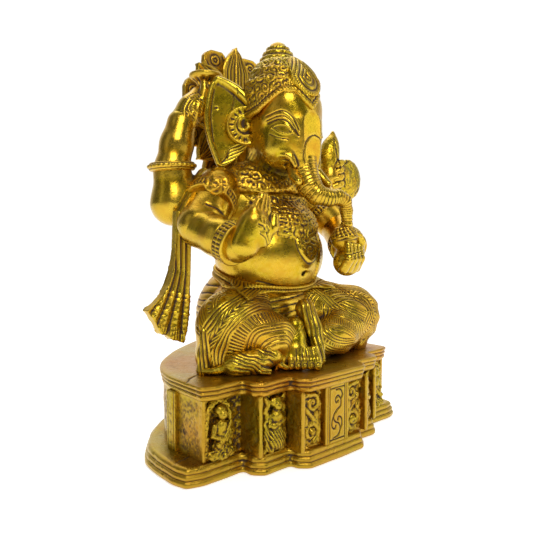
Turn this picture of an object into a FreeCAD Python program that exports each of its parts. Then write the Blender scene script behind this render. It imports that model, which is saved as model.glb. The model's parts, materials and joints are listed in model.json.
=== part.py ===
import FreeCAD, Part
import math
import os

# Seated four-armed Ganesha in brass on a stepped, hollow pedestal.
# Millimetres.  +Z is up, the figure faces -Y, and its left hand is on +X.
# The pieces are drawn about the figure's own middle, on the floor, and at the end the
# whole is moved so that the origin lies under the middle of its bounding box.

# ---- pedestal ----
PEDESTAL_HEIGHT = 52.0
PLINTH_HEIGHT = 10.0
SLAB_THICKNESS = 8.0
SLAB_BOTTOM = PEDESTAL_HEIGHT - SLAB_THICKNESS
SHELL = 3.0                   # wall of the hollow casting
CENTRE_HALF_WIDTH = 29.5      # middle step of the front
SECOND_HALF_WIDTH = 54.5      # step beside it
WING_HALF_WIDTH = 81.0        # outer step of the slab
CENTRE_FRONT = 65.0           # how far each step stands forward
SECOND_FRONT = 54.5
WING_FRONT = 42.0
BACK_DEPTH = 76.0             # middle of the curved back
SIDE_END = -14.0              # where the straight sides turn into the back
LOBE = 5.0                    # chamfer that rounds each step's corner
WING_LOBE = (10.0, 3.0)       # chamfer of the wing's corner, along and back
NICHE_DEPTH = 7.0             # wall face behind the slab's front edge
SIDE_INSET = 2.6              # wall side behind the slab's edge
STEP_SETBACK = 3.0            # extra setback of the second step's wall
PLINTH_FLARE = 9.5            # how much wider the plinth's wings are
FIN_THICKNESS = 2.2
FIN_SETBACK = 1.8             # fin's front edge behind the slab's
WING_FIN_SETBACK = 4.5        # the same at the wing's chamfered corner
PANEL_HALF_WIDTH = 9.8
MUSICIAN_X = 38.5
SEATED_X = 67.5

# ---- fixings that hold the figure down through the slab ----
STUD_RADIUS = 2.5
STUD_X = 26.0
STUD_Y = 6.0
STUD_UP = 16.0
STUD_DOWN = 16.0
NUT_ACROSS = 8.0
NUT_HEIGHT = 4.0
WASHER_RADIUS = 6.0
WASHER_THICKNESS = 1.2

# ---- figure ----
SEAT = PEDESTAL_HEIGHT        # the figure sits on the slab
BELLY_CENTRE = (0.0, -3.0, 119.0)
BELLY_RADII = (38.0, 33.0, 31.0)
HIP_RADII = (45.0, 33.0, 36.0)
CHEST_CENTRE = (0.0, 3.0, 150.0)
CHEST_RADII = (36.0, 22.0, 27.0)
HEAD_X = -2.5                 # the head leans a little to its right
HEAD_CENTRE = (HEAD_X, -17.0, 199.0)
HEAD_RADII = (21.0, 25.5, 25.0)
CROWN_AXIS_Y = -14.0
CROWN_BASE_Z = 213.0
CROWN_TOP_Z = 240.0
FINIAL_TIP_Z = 253.5
HALO_CENTRE_Z = 214.0
HALO_Y = 32.0                 # front face of the front petals
HALO_RADII = (42.0, 48.0)      # to the petal tips, across and upwards
HALO_DISC_RADIUS = 30.0
HALO_DISC_THICKNESS = 5.0
PETAL_COUNT = 8
PETAL_WIDTH = 23.0
PETAL_THICKNESS = 3.5
TAIL_THICKNESS = 6.0

Vector = FreeCAD.Vector


def ellipsoid(centre, radii):
    matrix = FreeCAD.Matrix()
    matrix.scale(Vector(*radii))
    ball = Part.makeSphere(1.0).transformGeometry(matrix)
    ball.translate(Vector(*centre))
    return ball


def cone_between(first, first_radius, second, second_radius):
    """The cone that touches both spheres all round."""
    span = second - first
    length = span.Length
    lean = (first_radius - second_radius) / length
    spread = math.sqrt(1.0 - lean * lean)
    start = first + span * (first_radius * lean / length)
    end = second + span * (second_radius * lean / length)
    height = (end - start).Length
    if abs(first_radius - second_radius) < 0.01:
        return Part.makeCylinder(first_radius, height, start, span)
    return Part.makeCone(first_radius * spread, second_radius * spread, height, start, span)


def limb(*balls):
    """A rounded limb through balls given as (x, y, z, radius)."""
    shape = None
    previous = None
    for x, y, z, radius in balls:
        centre = Vector(x, y, z)
        ball = Part.makeSphere(radius, centre)
        shape = ball if shape is None else shape.fuse(ball)
        if previous is not None:
            shape = shape.fuse(cone_between(previous[0], previous[1], centre, radius))
        previous = (centre, radius)
    return shape.removeSplitter()


def join(*shapes):
    whole = shapes[0]
    for shape in shapes[1:]:
        whole = whole.fuse(shape)
    return whole.removeSplitter()


def biggest(shape):
    return max(shape.Solids, key=lambda solid: solid.Volume)


def fitted(shape, *neighbours):
    """The shape with its neighbours' room taken out, so that they meet face to face."""
    if shape.ShapeType == "Compound":
        return group([fitted(solid, *neighbours) for solid in shape.Solids])
    for other in neighbours:
        if shape.BoundBox.intersect(other.BoundBox):
            shape = shape.cut(other)
    return biggest(shape)


def group(shapes):
    return Part.makeCompound([solid for shape in shapes for solid in shape.Solids])


def mirrored(shape):
    return shape.mirror(Vector(0, 0, 0), Vector(1, 0, 0))


def both_sides(shapes):
    return group(list(shapes) + [mirrored(shape) for shape in shapes])


def box(low, high):
    size = [high[i] - low[i] for i in range(3)]
    return Part.makeBox(size[0], size[1], size[2], Vector(*low))


def prism(points, bottom, top):
    wire = Part.makePolygon([Vector(x, y, bottom) for x, y in points + points[:1]])
    return Part.Face(wire).extrude(Vector(0, 0, top - bottom))


def ring(centre, axis, major, minor):
    return Part.makeTorus(major, minor, Vector(*centre), Vector(*axis))


def above_seat(shape):
    room = box((-150, -150, SEAT), (150, 150, SEAT + 300))
    return biggest(shape.common(room))


# ---------------------------------------------------------------- pedestal


def stepped_plan(steps, back, corners):
    """Outline with steps given as (half width, front), chamfered corners and a curved back."""
    half = [(0.0, -steps[0][1])]
    for i, (width, front) in enumerate(steps):
        if corners:
            along, down = corners[i]
            half += [(width - along, -front), (width, -front + down)]
        else:
            half.append((width, -front))
        if i + 1 < len(steps):
            half.append((width, -steps[i + 1][1]))
    wing = steps[-1][0]
    curve_points = 9
    for i in range(curve_points):
        t = i / curve_points
        half.append((wing * (1.0 - t ** 2.1), SIDE_END + (back - SIDE_END) * t))
    half.append((0.0, back))
    left = [(-x, y) for x, y in half[1:-1]]
    return half + left[::-1]


def edge_plan(grow, flare=0.0):
    steps = [(CENTRE_HALF_WIDTH + grow, CENTRE_FRONT + grow),
             (SECOND_HALF_WIDTH + grow, SECOND_FRONT + grow),
             (WING_HALF_WIDTH + grow + flare, WING_FRONT + grow)]
    return stepped_plan(steps, BACK_DEPTH + grow, [(LOBE, LOBE), (LOBE, LOBE), WING_LOBE])


def wall_plan(inward):
    steps = [(half_width - SIDE_INSET - inward, front - NICHE_DEPTH - inward)
             for half_width, front in ((CENTRE_HALF_WIDTH, CENTRE_FRONT),
                                       (SECOND_HALF_WIDTH - STEP_SETBACK, SECOND_FRONT),
                                       (WING_HALF_WIDTH, WING_FRONT))]
    return stepped_plan(steps, BACK_DEPTH - SIDE_INSET - inward, None)


def plinth():
    body = prism(edge_plan(0.0, PLINTH_FLARE), 0.0, 3.5)
    body = body.fuse(prism(edge_plan(-1.3, PLINTH_FLARE), 3.5, 6.5))
    body = body.fuse(prism(edge_plan(-2.0, PLINTH_FLARE), 6.5, PLINTH_HEIGHT))
    hollow = prism(wall_plan(SHELL), 0.0, PLINTH_HEIGHT)
    return biggest(body.cut(hollow).removeSplitter())


def slab():
    body = prism(edge_plan(-1.5), SLAB_BOTTOM, SLAB_BOTTOM + 3.0)
    body = body.fuse(prism(edge_plan(-0.6), SLAB_BOTTOM + 3.0, SLAB_BOTTOM + 5.5))
    body = body.fuse(prism(edge_plan(0.0), SLAB_BOTTOM + 5.5, PEDESTAL_HEIGHT))
    for stud in stud_holes():
        body = body.cut(stud)
    return biggest(body.removeSplitter())


def wall():
    outer = prism(wall_plan(0.0), PLINTH_HEIGHT, SLAB_BOTTOM)
    inner = prism(wall_plan(SHELL), PLINTH_HEIGHT, SLAB_BOTTOM)
    return biggest(outer.cut(inner))


def upright(inner_x, front, back):
    """A thin fin standing between plinth and slab, against the wall's side."""
    low = (inner_x, -front, PLINTH_HEIGHT)
    return box(low, (inner_x + FIN_THICKNESS, -back, SLAB_BOTTOM))


def fins():
    """Fins that end each step of the front and frame the niches."""
    wing_x = WING_HALF_WIDTH - SIDE_INSET - FIN_THICKNESS
    second_x = SECOND_HALF_WIDTH - STEP_SETBACK - SIDE_INSET
    return both_sides([
        upright(CENTRE_HALF_WIDTH - SIDE_INSET, CENTRE_FRONT - FIN_SETBACK, SECOND_FRONT - NICHE_DEPTH),
        upright(second_x, SECOND_FRONT - FIN_SETBACK, WING_FRONT - NICHE_DEPTH),
        upright(wing_x, WING_FRONT - WING_FIN_SETBACK, WING_FRONT - NICHE_DEPTH),
    ])


def scroll_panel():
    """Flat panel in the middle of the front, with a raised double scroll."""
    back = CENTRE_FRONT - NICHE_DEPTH
    face = -(CENTRE_FRONT - FIN_SETBACK)
    plate = box((-PANEL_HALF_WIDTH, face, PLINTH_HEIGHT), (PANEL_HALF_WIDTH, -back, SLAB_BOTTOM))
    middle = (PLINTH_HEIGHT + SLAB_BOTTOM) / 2
    for side in (-1, 1):
        curl = ring((0, face, middle + side * 7.5), (0, 1, 0), 4.2, 0.6)
        plate = plate.fuse(curl)
    return biggest(plate.removeSplitter())


def behind(front):
    """Everything behind the wall's face on one step."""
    face = -(front - NICHE_DEPTH)
    return box((-120, face, 0), (120, 120, PEDESTAL_HEIGHT))


def niche_scrolls():
    """Carved scroll relief in the inner niche of each side: four overlapping curls."""
    x = (CENTRE_HALF_WIDTH - SIDE_INSET + PANEL_HALF_WIDTH) / 2
    face = -(CENTRE_FRONT - NICHE_DEPTH)
    depth = 2.4
    curls = []
    for shift, height, radius in ((-1.0, 6, 4.4), (1.0, 13, 5.0), (-1.0, 20, 4.6), (1.0, 27, 4.2)):
        start = Vector(x + shift, face - depth, PLINTH_HEIGHT + height)
        curls.append(Part.makeCylinder(radius, depth, start, Vector(0, 1, 0)))
    return both_sides([join(*curls)])


def standing_musicians():
    """Small standing player in the niche of the second step."""
    x = MUSICIAN_X
    y = -(SECOND_FRONT - NICHE_DEPTH) - 1.8
    z = PLINTH_HEIGHT
    legs = limb((x, y, z + 3, 2.6), (x, y, z + 13, 3.6))
    body = limb((x, y, z + 13, 3.6), (x, y, z + 21, 4.0), (x, y, z + 29, 3.4))
    drum = limb((x - 4, y - 1, z + 19, 2.4), (x + 4, y - 1, z + 19, 2.4))
    return both_sides([join(legs, body, drum).cut(behind(SECOND_FRONT))])


def seated_musicians():
    """Small cross-legged player in the niche of the wing."""
    x = SEATED_X
    y = -(WING_FRONT - NICHE_DEPTH) - 1.8
    z = PLINTH_HEIGHT
    legs = limb((x - 5, y, z + 3.5, 3.2), (x + 5, y, z + 3.5, 3.2))
    body = limb((x, y, z + 4, 3.6), (x, y, z + 17, 3.6), (x + 0.5, y, z + 27, 3.2))
    arm = limb((x, y, z + 18, 2.0), (x + 5, y - 0.5, z + 13, 1.8), (x + 1, y - 1, z + 8, 1.6))
    return both_sides([join(legs, body, arm).cut(behind(WING_FRONT))])


def side_panels():
    """Upright panel on each side face, beside the curve of the back."""
    x = WING_HALF_WIDTH - SIDE_INSET
    plate = box((x, SIDE_END + 1.0, PLINTH_HEIGHT), (x + 2.2, SIDE_END + 9.0, SLAB_BOTTOM))
    return both_sides([plate.cut(prism(wall_plan(0.0), PLINTH_HEIGHT, SLAB_BOTTOM))])


def stud_centres():
    return [(-STUD_X, STUD_Y), (STUD_X, STUD_Y)]


def stud_holes():
    return [Part.makeCylinder(STUD_RADIUS, SLAB_THICKNESS, Vector(x, y, SLAB_BOTTOM))
            for x, y in stud_centres()]


def studs():
    length = STUD_DOWN + SLAB_THICKNESS + STUD_UP
    return [Part.makeCylinder(STUD_RADIUS, length, Vector(x, y, SLAB_BOTTOM - STUD_DOWN))
            for x, y in stud_centres()]


def washers():
    shapes = []
    for x, y in stud_centres():
        base = Vector(x, y, SLAB_BOTTOM - WASHER_THICKNESS)
        disc = Part.makeCylinder(WASHER_RADIUS, WASHER_THICKNESS, base)
        shapes.append(disc.cut(Part.makeCylinder(STUD_RADIUS, WASHER_THICKNESS, base)))
    return group(shapes)


def nuts():
    top = SLAB_BOTTOM - WASHER_THICKNESS
    corner = NUT_ACROSS / math.sqrt(3.0)
    shapes = []
    for x, y in stud_centres():
        outline = [(x + corner * math.cos(math.radians(60 * i)),
                    y + corner * math.sin(math.radians(60 * i))) for i in range(6)]
        hole = Part.makeCylinder(STUD_RADIUS, NUT_HEIGHT, Vector(x, y, top - NUT_HEIGHT))
        shapes.append(prism(outline, top - NUT_HEIGHT, top).cut(hole))
    return group(shapes)


# ---------------------------------------------------------------- body


def torso():
    return join(ellipsoid(BELLY_CENTRE, BELLY_RADII), ellipsoid(CHEST_CENTRE, CHEST_RADII))


def hips():
    return above_seat(ellipsoid((0, 10, 80), HIP_RADII))


def right_leg():
    thigh = limb((-20, 0, 84, 22), (-44, -16, 80, 18), (-22, -28, 70, 15), (-8, -28, 68, 11))
    drape = limb((-44, -14, 78, 17), (-45, -12, 60, 17))
    return above_seat(thigh.fuse(drape))


def left_leg():
    thigh = limb((23, -1, 83, 21), (61.5, -20, 75, 20.5), (34, -32, 66, 13), (12, -34, 62, 10))
    drape = limb((60, -19, 70, 18.5), (59, -17, 60, 17.5))
    return above_seat(thigh.fuse(drape))


def right_foot():
    """Bare foot that slopes down to the slab, with its heel to the side."""
    foot = limb((-6, -33, 75, 6), (-9, -37, 68, 7), (-12, -40, 61, 7))
    foot = foot.fuse(limb((-12, -38, 61, 6), (-21, -35, 58, 5)))
    for i in range(5):
        root = (-17.5 + 3.2 * i, -40.5 - 2.2 * i, 61.5, 2.3)
        tip = (-19.5 + 3.1 * i, -43.5 - 2.3 * i, 55.5, 2.3)
        foot = foot.fuse(limb(root, tip))
    return above_seat(foot)


def lap_pleats():
    """Fold of cloth that falls from the belt to the slab, beside the foot."""
    return above_seat(limb((3, -33, 86, 6), (5, -38, 74, 5.5), (4, -43, 64, 4), (3, -47, 56, 3.5)))


def hem_fold():
    """Fold of cloth hanging from the right knee."""
    return above_seat(limb((-59, -16, 76, 4), (-61, -15, 62, 4.2), (-61.5, -15, 54, 4.5)))


def mouse():
    body = limb((-50, -30, 58, 7.5), (-38, -35, 59, 7.5), (-29, -38, 61, 5), (-24, -40, 59, 3))
    ear = Part.makeSphere(2.6, Vector(-31, -35, 66))
    tail = limb((-56, -27, 55.5, 2.4), (-62, -20, 54.5, 2))
    return above_seat(body.fuse(ear).fuse(tail))


def waist_belt():
    """Rope belt round the foot of the belly."""
    belt = ring((0, -2, 0), (0, 0, 1), 36.0, 3.4)
    belt.rotate(Vector(0, 0, 0), Vector(1, 0, 0), 14.0)
    belt.translate(Vector(0, 0, 104))
    return belt


def shawl():
    """Collar of cloth lying over both shoulders."""
    cape = ellipsoid((0, 2, 156), (40.0, 25.5, 26.0))
    keep = box((-60, -60, 160), (60, 60, 200))
    return biggest(cape.common(keep))


def necklace():
    """Broad chest ornament, lying on the belly."""
    plate = ellipsoid((0, -3.5, 136), (30.0, 33.0, 22.0))
    keep = box((-26, -60, 128), (26, -8, 158))
    return plate.common(keep)


# ---------------------------------------------------------------- arms


def right_upper_arm():
    return limb((-38, 2, 160, 14), (-60, -8, 138, 12.5))


def right_forearm():
    return limb((-60, -8, 137, 12.0), (-56, -40, 126, 9.5))


def right_hand():
    palm = limb((-55, -45, 128, 9), (-50, -47, 140, 8.5))
    shape = palm
    for i in range(4):
        x = -55 + 3.6 * i
        shape = shape.fuse(limb((x, -48, 140, 2.8), (x + 3, -49, 151 + 1.5 * (i % 3), 2.4)))
    thumb = limb((-46, -47, 133, 4), (-40.5, -50, 141, 3))
    return biggest(shape.fuse(thumb).removeSplitter())


def left_upper_arm():
    return limb((38, 2, 160, 14), (58, -8, 140, 12))


def left_forearm():
    return limb((58, -9, 139, 11.5), (38, -40, 122, 9))


def left_hand():
    palm = limb((32, -44, 119, 9.5), (22, -52, 116, 8.5))
    shape = palm
    for i in range(4):
        x = 15 + 5.0 * i
        shape = shape.fuse(limb((x, -58 + 1.2 * i, 114, 3.0), (x, -60 + 1.2 * i, 124, 2.8)))
    return biggest(shape.removeSplitter())


def modak():
    """The sweet held in the left hand: a ball with a pleated top."""
    return join(Part.makeSphere(8.2, Vector(20.5, -50, 129.2)),
                Part.makeCone(5.8, 1.6, 6.8, Vector(20.5, -50, 134.4)))


def right_back_arm():
    return limb((-36, 14, 158, 14), (-59, 20, 152.5, 13.5), (-60, 20, 172, 10.8),
                (-53, 20, 201, 9.5))


def right_back_hand():
    return limb((-51, 20, 203, 9), (-44, 19, 213, 8.6), (-37.5, 19, 222, 6.8))


def goad():
    """Flared attribute standing in the raised right hand."""
    return turned([(5.5, 218), (5.0, 226), (10.0, 234.0)], -35.0, 19.0)


def left_back_arm():
    return limb((36, 14, 158, 14), (57, 20, 150, 13), (67, 14, 164, 10))


def left_back_hand():
    return limb((68, 13, 166, 9), (72, 9, 176, 8), (71, 9, 185, 6))


def axe():
    """Bud-shaped haft with a round blade on the outer side."""
    haft = limb((73, 9, 172, 6), (71.5, 10, 190, 8), (75, 10, 202, 5), (76, 10, 208, 2))
    blade = Part.makeCylinder(14.0, 5.0, Vector(89.5, 4, 173.5), Vector(0, 1, 0))
    return biggest(haft.fuse(blade).removeSplitter())


# ---------------------------------------------------------------- head


def head():
    cheeks = limb((HEAD_X - 10, -24, 184, 12.5), (HEAD_X + 8, -23, 184, 12))
    neck = limb((0, -6, 186, 17), (0, -2, 172, 17))
    return join(ellipsoid(HEAD_CENTRE, HEAD_RADII), cheeks, neck)


def trunk():
    return limb((-1.5, -34.5, 184, 9.6), (-1, -37.2, 171, 7.8), (-1, -42.5, 162, 7.0),
                (1, -46.5, 156.5, 6.2), (7, -50, 155.5, 5.3), (13, -51, 156.5, 4.7),
                (18, -52, 154, 4.2), (21, -51, 147, 3.7), (22, -51, 139, 3.2))


def right_ear():
    """Broad ear plate: a fan from the side of the head, leaning back."""
    outline = [(-14, 215), (-32, 233), (-41, 219), (-42, 204), (-40, 190), (-36, 174), (-22, 178),
               (-15, 190)]
    thickness = 5.0
    points = [Vector(x, -8 - 0.55 * (x + 14), z) for x, z in outline]
    face = Part.Face(Part.makePolygon(points + points[:1]))
    normal = face.normalAt(0, 0)
    if normal.y < 0:
        normal = -normal
    return face.extrude(normal * thickness)


def ear_flower():
    """Studded ornament set in the hollow of the ear."""
    centre = Vector(-24, -4.5, 199)
    outward = Vector(-0.48, -0.88, 0)
    return Part.makeCylinder(10.0, 3.0, centre, outward)


def tusk():
    return limb((-9, -33, 174, 4.0), (-12, -38, 166, 3.0), (-12, -41, 161, 2.6))


def crown_band():
    """Band that arches over each brow and dips to a point between them."""
    half = [(-5, -39.5, 215.5), (-12, -32.5, 218), (-18, -26, 213.5), (-22.5, -20, 208),
            (-24.5, -12, 205.5)]
    far_side = [(2 * HEAD_X - x, y, z) for x, y, z in half]
    path = half[::-1] + [(-1, -42.5, 209)] + far_side
    return limb(*[(x, y, z, 2.6) for x, y, z in path])


def turned(profile, x, y):
    points = [Vector(x, y, profile[0][1])]
    points += [Vector(x + radius, y, z) for radius, z in profile]
    points += [Vector(x, y, profile[-1][1])]
    wire = Part.makePolygon(points + points[:1])
    return Part.Face(wire).revolve(Vector(x, y, 0), Vector(0, 0, 1), 360)


def crown():
    rise = CROWN_TOP_Z - CROWN_BASE_Z
    profile = [(23.0, CROWN_BASE_Z), (24.5, CROWN_BASE_Z + 0.2 * rise),
               (23.5, CROWN_BASE_Z + 0.45 * rise), (20.0, CROWN_BASE_Z + 0.7 * rise),
               (16.0, CROWN_BASE_Z + 0.9 * rise), (12.0, CROWN_TOP_Z)]
    return turned(profile, HEAD_X, CROWN_AXIS_Y)


def crown_finial():
    profile = [(11.5, CROWN_TOP_Z), (10.0, CROWN_TOP_Z + 5), (6.5, CROWN_TOP_Z + 10),
               (2.0, FINIAL_TIP_Z)]
    return turned(profile, HEAD_X + 1.5, CROWN_AXIS_Y + 2.0)


def crown_medallion():
    """Leaf-shaped plaque on the front of the crown."""
    centre = (-1.5, -35, 227.5)
    plaque = ellipsoid(centre, (12.0, 4.5, 16.0))
    plaque.rotate(Vector(*centre), Vector(1, 0, 0), -30.0)
    return plaque


# ---------------------------------------------------------------- halo and scarf


def halo_disc():
    """Round plate that backs both rings of petals."""
    base = Vector(0, HALO_Y + 2 * PETAL_THICKNESS, HALO_CENTRE_Z)
    return Part.makeCylinder(HALO_DISC_RADIUS, HALO_DISC_THICKNESS, base, Vector(0, 1, 0))


def petal_ring(front, first_angle, shorter, width):
    """Pointed petals round the disc, each an arch drawn with two arcs."""
    root = 18.0
    belly = 0.62
    across, upwards = HALO_RADII
    shapes = []
    for i in range(PETAL_COUNT):
        turn = first_angle + 360.0 / PETAL_COUNT * i
        tip_radius = 1.0 / math.hypot(math.sin(math.radians(turn)) / across,
                                      math.cos(math.radians(turn)) / upwards) - shorter
        foot_a = Vector(-width * 0.35, front, root)
        foot_b = Vector(width * 0.35, front, root)
        tip = Vector(0, front, tip_radius)
        bulge_a = Vector(-width * 0.5, front, root + belly * (tip_radius - root))
        bulge_b = Vector(width * 0.5, front, root + belly * (tip_radius - root))
        edges = [
            Part.Arc(foot_a, bulge_a, tip).toShape(),
            Part.Arc(tip, bulge_b, foot_b).toShape(),
            Part.LineSegment(foot_b, foot_a).toShape(),
        ]
        petal = Part.Face(Part.Wire(edges)).extrude(Vector(0, PETAL_THICKNESS, 0))
        petal.rotate(Vector(0, 0, 0), Vector(0, 1, 0), turn)
        petal.translate(Vector(0, 0, HALO_CENTRE_Z))
        shapes.append(petal)
    return group(shapes)


def halo_front_petals():
    return petal_ring(HALO_Y, 0.0, 0.0, PETAL_WIDTH)


def halo_back_petals():
    return petal_ring(HALO_Y + PETAL_THICKNESS, 180.0 / PETAL_COUNT, 1.5, PETAL_WIDTH - 3.0)


def halo_stem():
    """Foot of the halo, let into the back of the shoulders."""
    return box((-9, 20, 150), (9, HALO_Y + PETAL_THICKNESS, 200))


def halo_rivets():
    """Rivets from the stem through petals and disc, with round heads at the back."""
    shank_start = 22.0
    disc_back = HALO_Y + 2 * PETAL_THICKNESS + HALO_DISC_THICKNESS
    backward = Vector(0, 1, 0)
    shapes = []
    for z in (190.0, 197.0):
        shank = Part.makeCylinder(1.8, disc_back - shank_start, Vector(0, shank_start, z), backward)
        rivet_head = Part.makeCylinder(3.4, 1.6, Vector(0, disc_back, z), backward)
        shapes.append(shank.fuse(rivet_head))
    return group(shapes)


def scarf_tail():
    """Fluted end of the scarf, hanging from the elbow and flaring to a fishtail."""
    outline = [(-71, 146), (-60, 143), (-61.5, 110), (-63, 90), (-67, 68.5), (-76, 71.5), (-82, 75.5),
               (-90, 90), (-80.5, 97.5), (-74.5, 108), (-72, 125)]
    points = [Vector(x, -TAIL_THICKNESS / 2, z) for x, z in outline]
    face = Part.Face(Part.makePolygon(points + points[:1]))
    return face.extrude(Vector(0, TAIL_THICKNESS, 0))


def scarf_strip():
    """Strip of the scarf running down behind the upper arm to the elbow."""
    return limb((-42, 12, 170, 4), (-54, 6, 158, 4.5), (-62, 4, 144, 5))


# ---------------------------------------------------------------- assembly

RIGHT_ARM = ["right_front_upper_arm", "right_front_forearm"]
LEFT_ARM = ["left_front_upper_arm", "left_front_forearm"]
ARMS = RIGHT_ARM + LEFT_ARM + ["right_back_arm", "left_back_arm"]
LEGS = ["torso", "dhoti_hips", "right_leg", "left_leg"]
STUDS = "figure_studs"

# Bands round the arms: middle, direction along the arm, radius and half thickness.
BANDS = {
    "right_armband": ((-46, -2, 153), (-22, -10, -22), 14.2, 1.9),
    "left_armband": ((46, -2, 153), (20, -10, -20), 13.8, 1.9),
    "right_bracelet": ((-56.5, -35, 128), (4, -32, -11), 10.6, 2.0),
    "left_bracelet": ((41, -35, 125), (-20, -31, -17), 10.2, 2.0),
    "right_back_bangle": ((-60, 20, 174), (-1, 0, 18), 12.6, 2.2),
    "left_back_bangle": ((66, 15, 166), (10, -6, 18), 12.6, 2.2),
}

# Which pieces each piece is seated on.  It gives way to all of them.
SEATED_ON = {
    "torso": [STUDS],
    "dhoti_hips": ["torso", STUDS],
    "right_leg": ["torso", "dhoti_hips", STUDS],
    "left_leg": ["torso", "dhoti_hips", "right_leg", STUDS],
    "waist_belt": LEGS,
    "right_foot": LEGS,
    "lap_pleats": LEGS + ["right_foot"],
    "hem_fold": LEGS,
    "mouse": LEGS + ["right_foot", "hem_fold"],
    "head": ["torso"],
    "trunk": ["torso", "head"],
    "tusks": ["torso", "head", "trunk"],
    "right_front_upper_arm": ["torso"],
    "right_front_forearm": ["torso", "right_front_upper_arm"],
    "right_front_hand": ["torso", "right_front_forearm"],
    "left_front_upper_arm": ["torso"],
    "left_front_forearm": ["torso", "left_front_upper_arm"],
    "left_front_hand": ["torso", "left_front_forearm"],
    "modak": ["torso", "left_front_hand", "trunk"],
    "right_back_arm": ["torso", "right_front_upper_arm"],
    "left_back_arm": ["torso", "left_front_upper_arm"],
    "right_back_hand": ["right_back_arm"],
    "left_back_hand": ["left_back_arm"],
    "goad": ["right_back_hand"],
    "axe": ["left_back_hand", "left_back_arm"],
    "right_armband": ["torso"] + ARMS,
    "left_armband": ["torso"] + ARMS,
    "right_bracelet": ["torso"] + ARMS,
    "left_bracelet": ["torso"] + ARMS,
    "right_back_bangle": ["torso"] + ARMS,
    "left_back_bangle": ["torso"] + ARMS,
    "shawl": ["torso", "head"] + ARMS,
    "necklace": ["torso", "head"] + ARMS,
    "right_ear": ["head"],
    "ear_flowers": ["head", "right_ear"],
    "crown_band": ["head", "right_ear", "left_ear"],
    "crown": ["head", "right_ear", "left_ear", "crown_band"],
    "crown_medallion": ["head", "crown", "crown_band"],
    "halo_disc": ["halo_rivets"],
    "halo_front_petals": ["halo_rivets"],
    "halo_back_petals": ["halo_rivets"],
    "halo_stem": ["torso", "head", "shawl", "halo_front_petals", "halo_rivets"],
    "right_scarf_tail": RIGHT_ARM + ["right_back_arm"],
    "scarf_strips": ["torso", "shawl", "right_scarf_tail"] + ARMS,
}

# Pieces that come as a left and right pair in one node.
PAIRS = ["tusks", "ear_flowers", "scarf_strips"]


def whole_pieces():
    """Every piece before it is cut back by what it is seated on."""
    ear = right_ear()
    return {
        "pedestal_plinth": plinth(),
        "pedestal_wall": wall(),
        "pedestal_slab": slab(),
        "pedestal_fins": fins(),
        "scroll_panel": scroll_panel(),
        "niche_scrolls": niche_scrolls(),
        "standing_musicians": standing_musicians(),
        "seated_musicians": seated_musicians(),
        "side_panels": side_panels(),
        "figure_studs": group(studs()),
        "stud_washers": washers(),
        "stud_nuts": nuts(),
        "torso": torso(),
        "dhoti_hips": hips(),
        "right_leg": right_leg(),
        "left_leg": left_leg(),
        "waist_belt": waist_belt(),
        "right_foot": right_foot(),
        "lap_pleats": lap_pleats(),
        "hem_fold": hem_fold(),
        "mouse": mouse(),
        "head": head(),
        "trunk": trunk(),
        "tusks": tusk(),
        "right_front_upper_arm": right_upper_arm(),
        "right_front_forearm": right_forearm(),
        "right_front_hand": right_hand(),
        "left_front_upper_arm": left_upper_arm(),
        "left_front_forearm": left_forearm(),
        "left_front_hand": left_hand(),
        "modak": modak(),
        "right_back_arm": right_back_arm(),
        "left_back_arm": left_back_arm(),
        "right_back_hand": right_back_hand(),
        "left_back_hand": left_back_hand(),
        "goad": goad(),
        "axe": axe(),
        "shawl": shawl(),
        "necklace": necklace(),
        "right_ear": ear,
        "left_ear": mirrored(ear),
        "ear_flowers": ear_flower(),
        "crown_band": crown_band(),
        "crown": crown(),
        "crown_finial": crown_finial(),
        "crown_medallion": crown_medallion(),
        "halo_rivets": halo_rivets(),
        "halo_disc": halo_disc(),
        "halo_front_petals": halo_front_petals(),
        "halo_back_petals": halo_back_petals(),
        "halo_stem": halo_stem(),
        "right_scarf_tail": scarf_tail(),
        "scarf_strips": scarf_strip(),
        **{name: ring(*band) for name, band in BANDS.items()},
    }


def build():
    whole = whole_pieces()
    part = dict(whole)
    for name, neighbours in SEATED_ON.items():
        part[name] = fitted(whole[name], *[whole[other] for other in neighbours])
    part["left_ear"] = mirrored(part["right_ear"])
    for name in PAIRS:
        part[name] = both_sides([part[name]])
    return part


def to_middle(shapes):
    """The move that brings the bottom middle of the bounding box to the origin."""
    limits = FreeCAD.BoundBox()
    for shape in shapes:
        limits.add(shape.optimalBoundingBox(False, False))
    return Vector(-limits.Center.x, -limits.Center.y, -limits.ZMin)


def main():
    os.makedirs("parts", exist_ok=True)
    part = build()
    move = to_middle(part.values())
    for name, shape in part.items():
        shape.translate(move)
        shape.exportStep(f"parts/{name}.step")


main()
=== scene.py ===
import json
import math

import bpy
import numpy as np
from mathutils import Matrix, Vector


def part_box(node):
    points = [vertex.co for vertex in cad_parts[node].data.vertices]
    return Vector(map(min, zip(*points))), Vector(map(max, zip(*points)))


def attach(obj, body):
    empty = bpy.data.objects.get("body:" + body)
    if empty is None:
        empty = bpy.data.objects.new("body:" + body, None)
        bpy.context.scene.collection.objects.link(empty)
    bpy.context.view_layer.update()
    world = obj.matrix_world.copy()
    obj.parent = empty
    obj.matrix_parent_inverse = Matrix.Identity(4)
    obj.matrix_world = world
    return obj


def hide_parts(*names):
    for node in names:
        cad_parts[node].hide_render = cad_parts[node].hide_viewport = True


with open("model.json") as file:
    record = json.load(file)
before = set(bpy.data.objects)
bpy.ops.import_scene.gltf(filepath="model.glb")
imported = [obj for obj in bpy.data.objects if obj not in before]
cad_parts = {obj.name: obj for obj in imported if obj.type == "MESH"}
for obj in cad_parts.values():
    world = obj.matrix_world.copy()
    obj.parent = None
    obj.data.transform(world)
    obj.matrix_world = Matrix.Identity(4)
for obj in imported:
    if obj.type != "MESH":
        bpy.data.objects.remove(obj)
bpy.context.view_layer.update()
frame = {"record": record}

import openvdb
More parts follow.
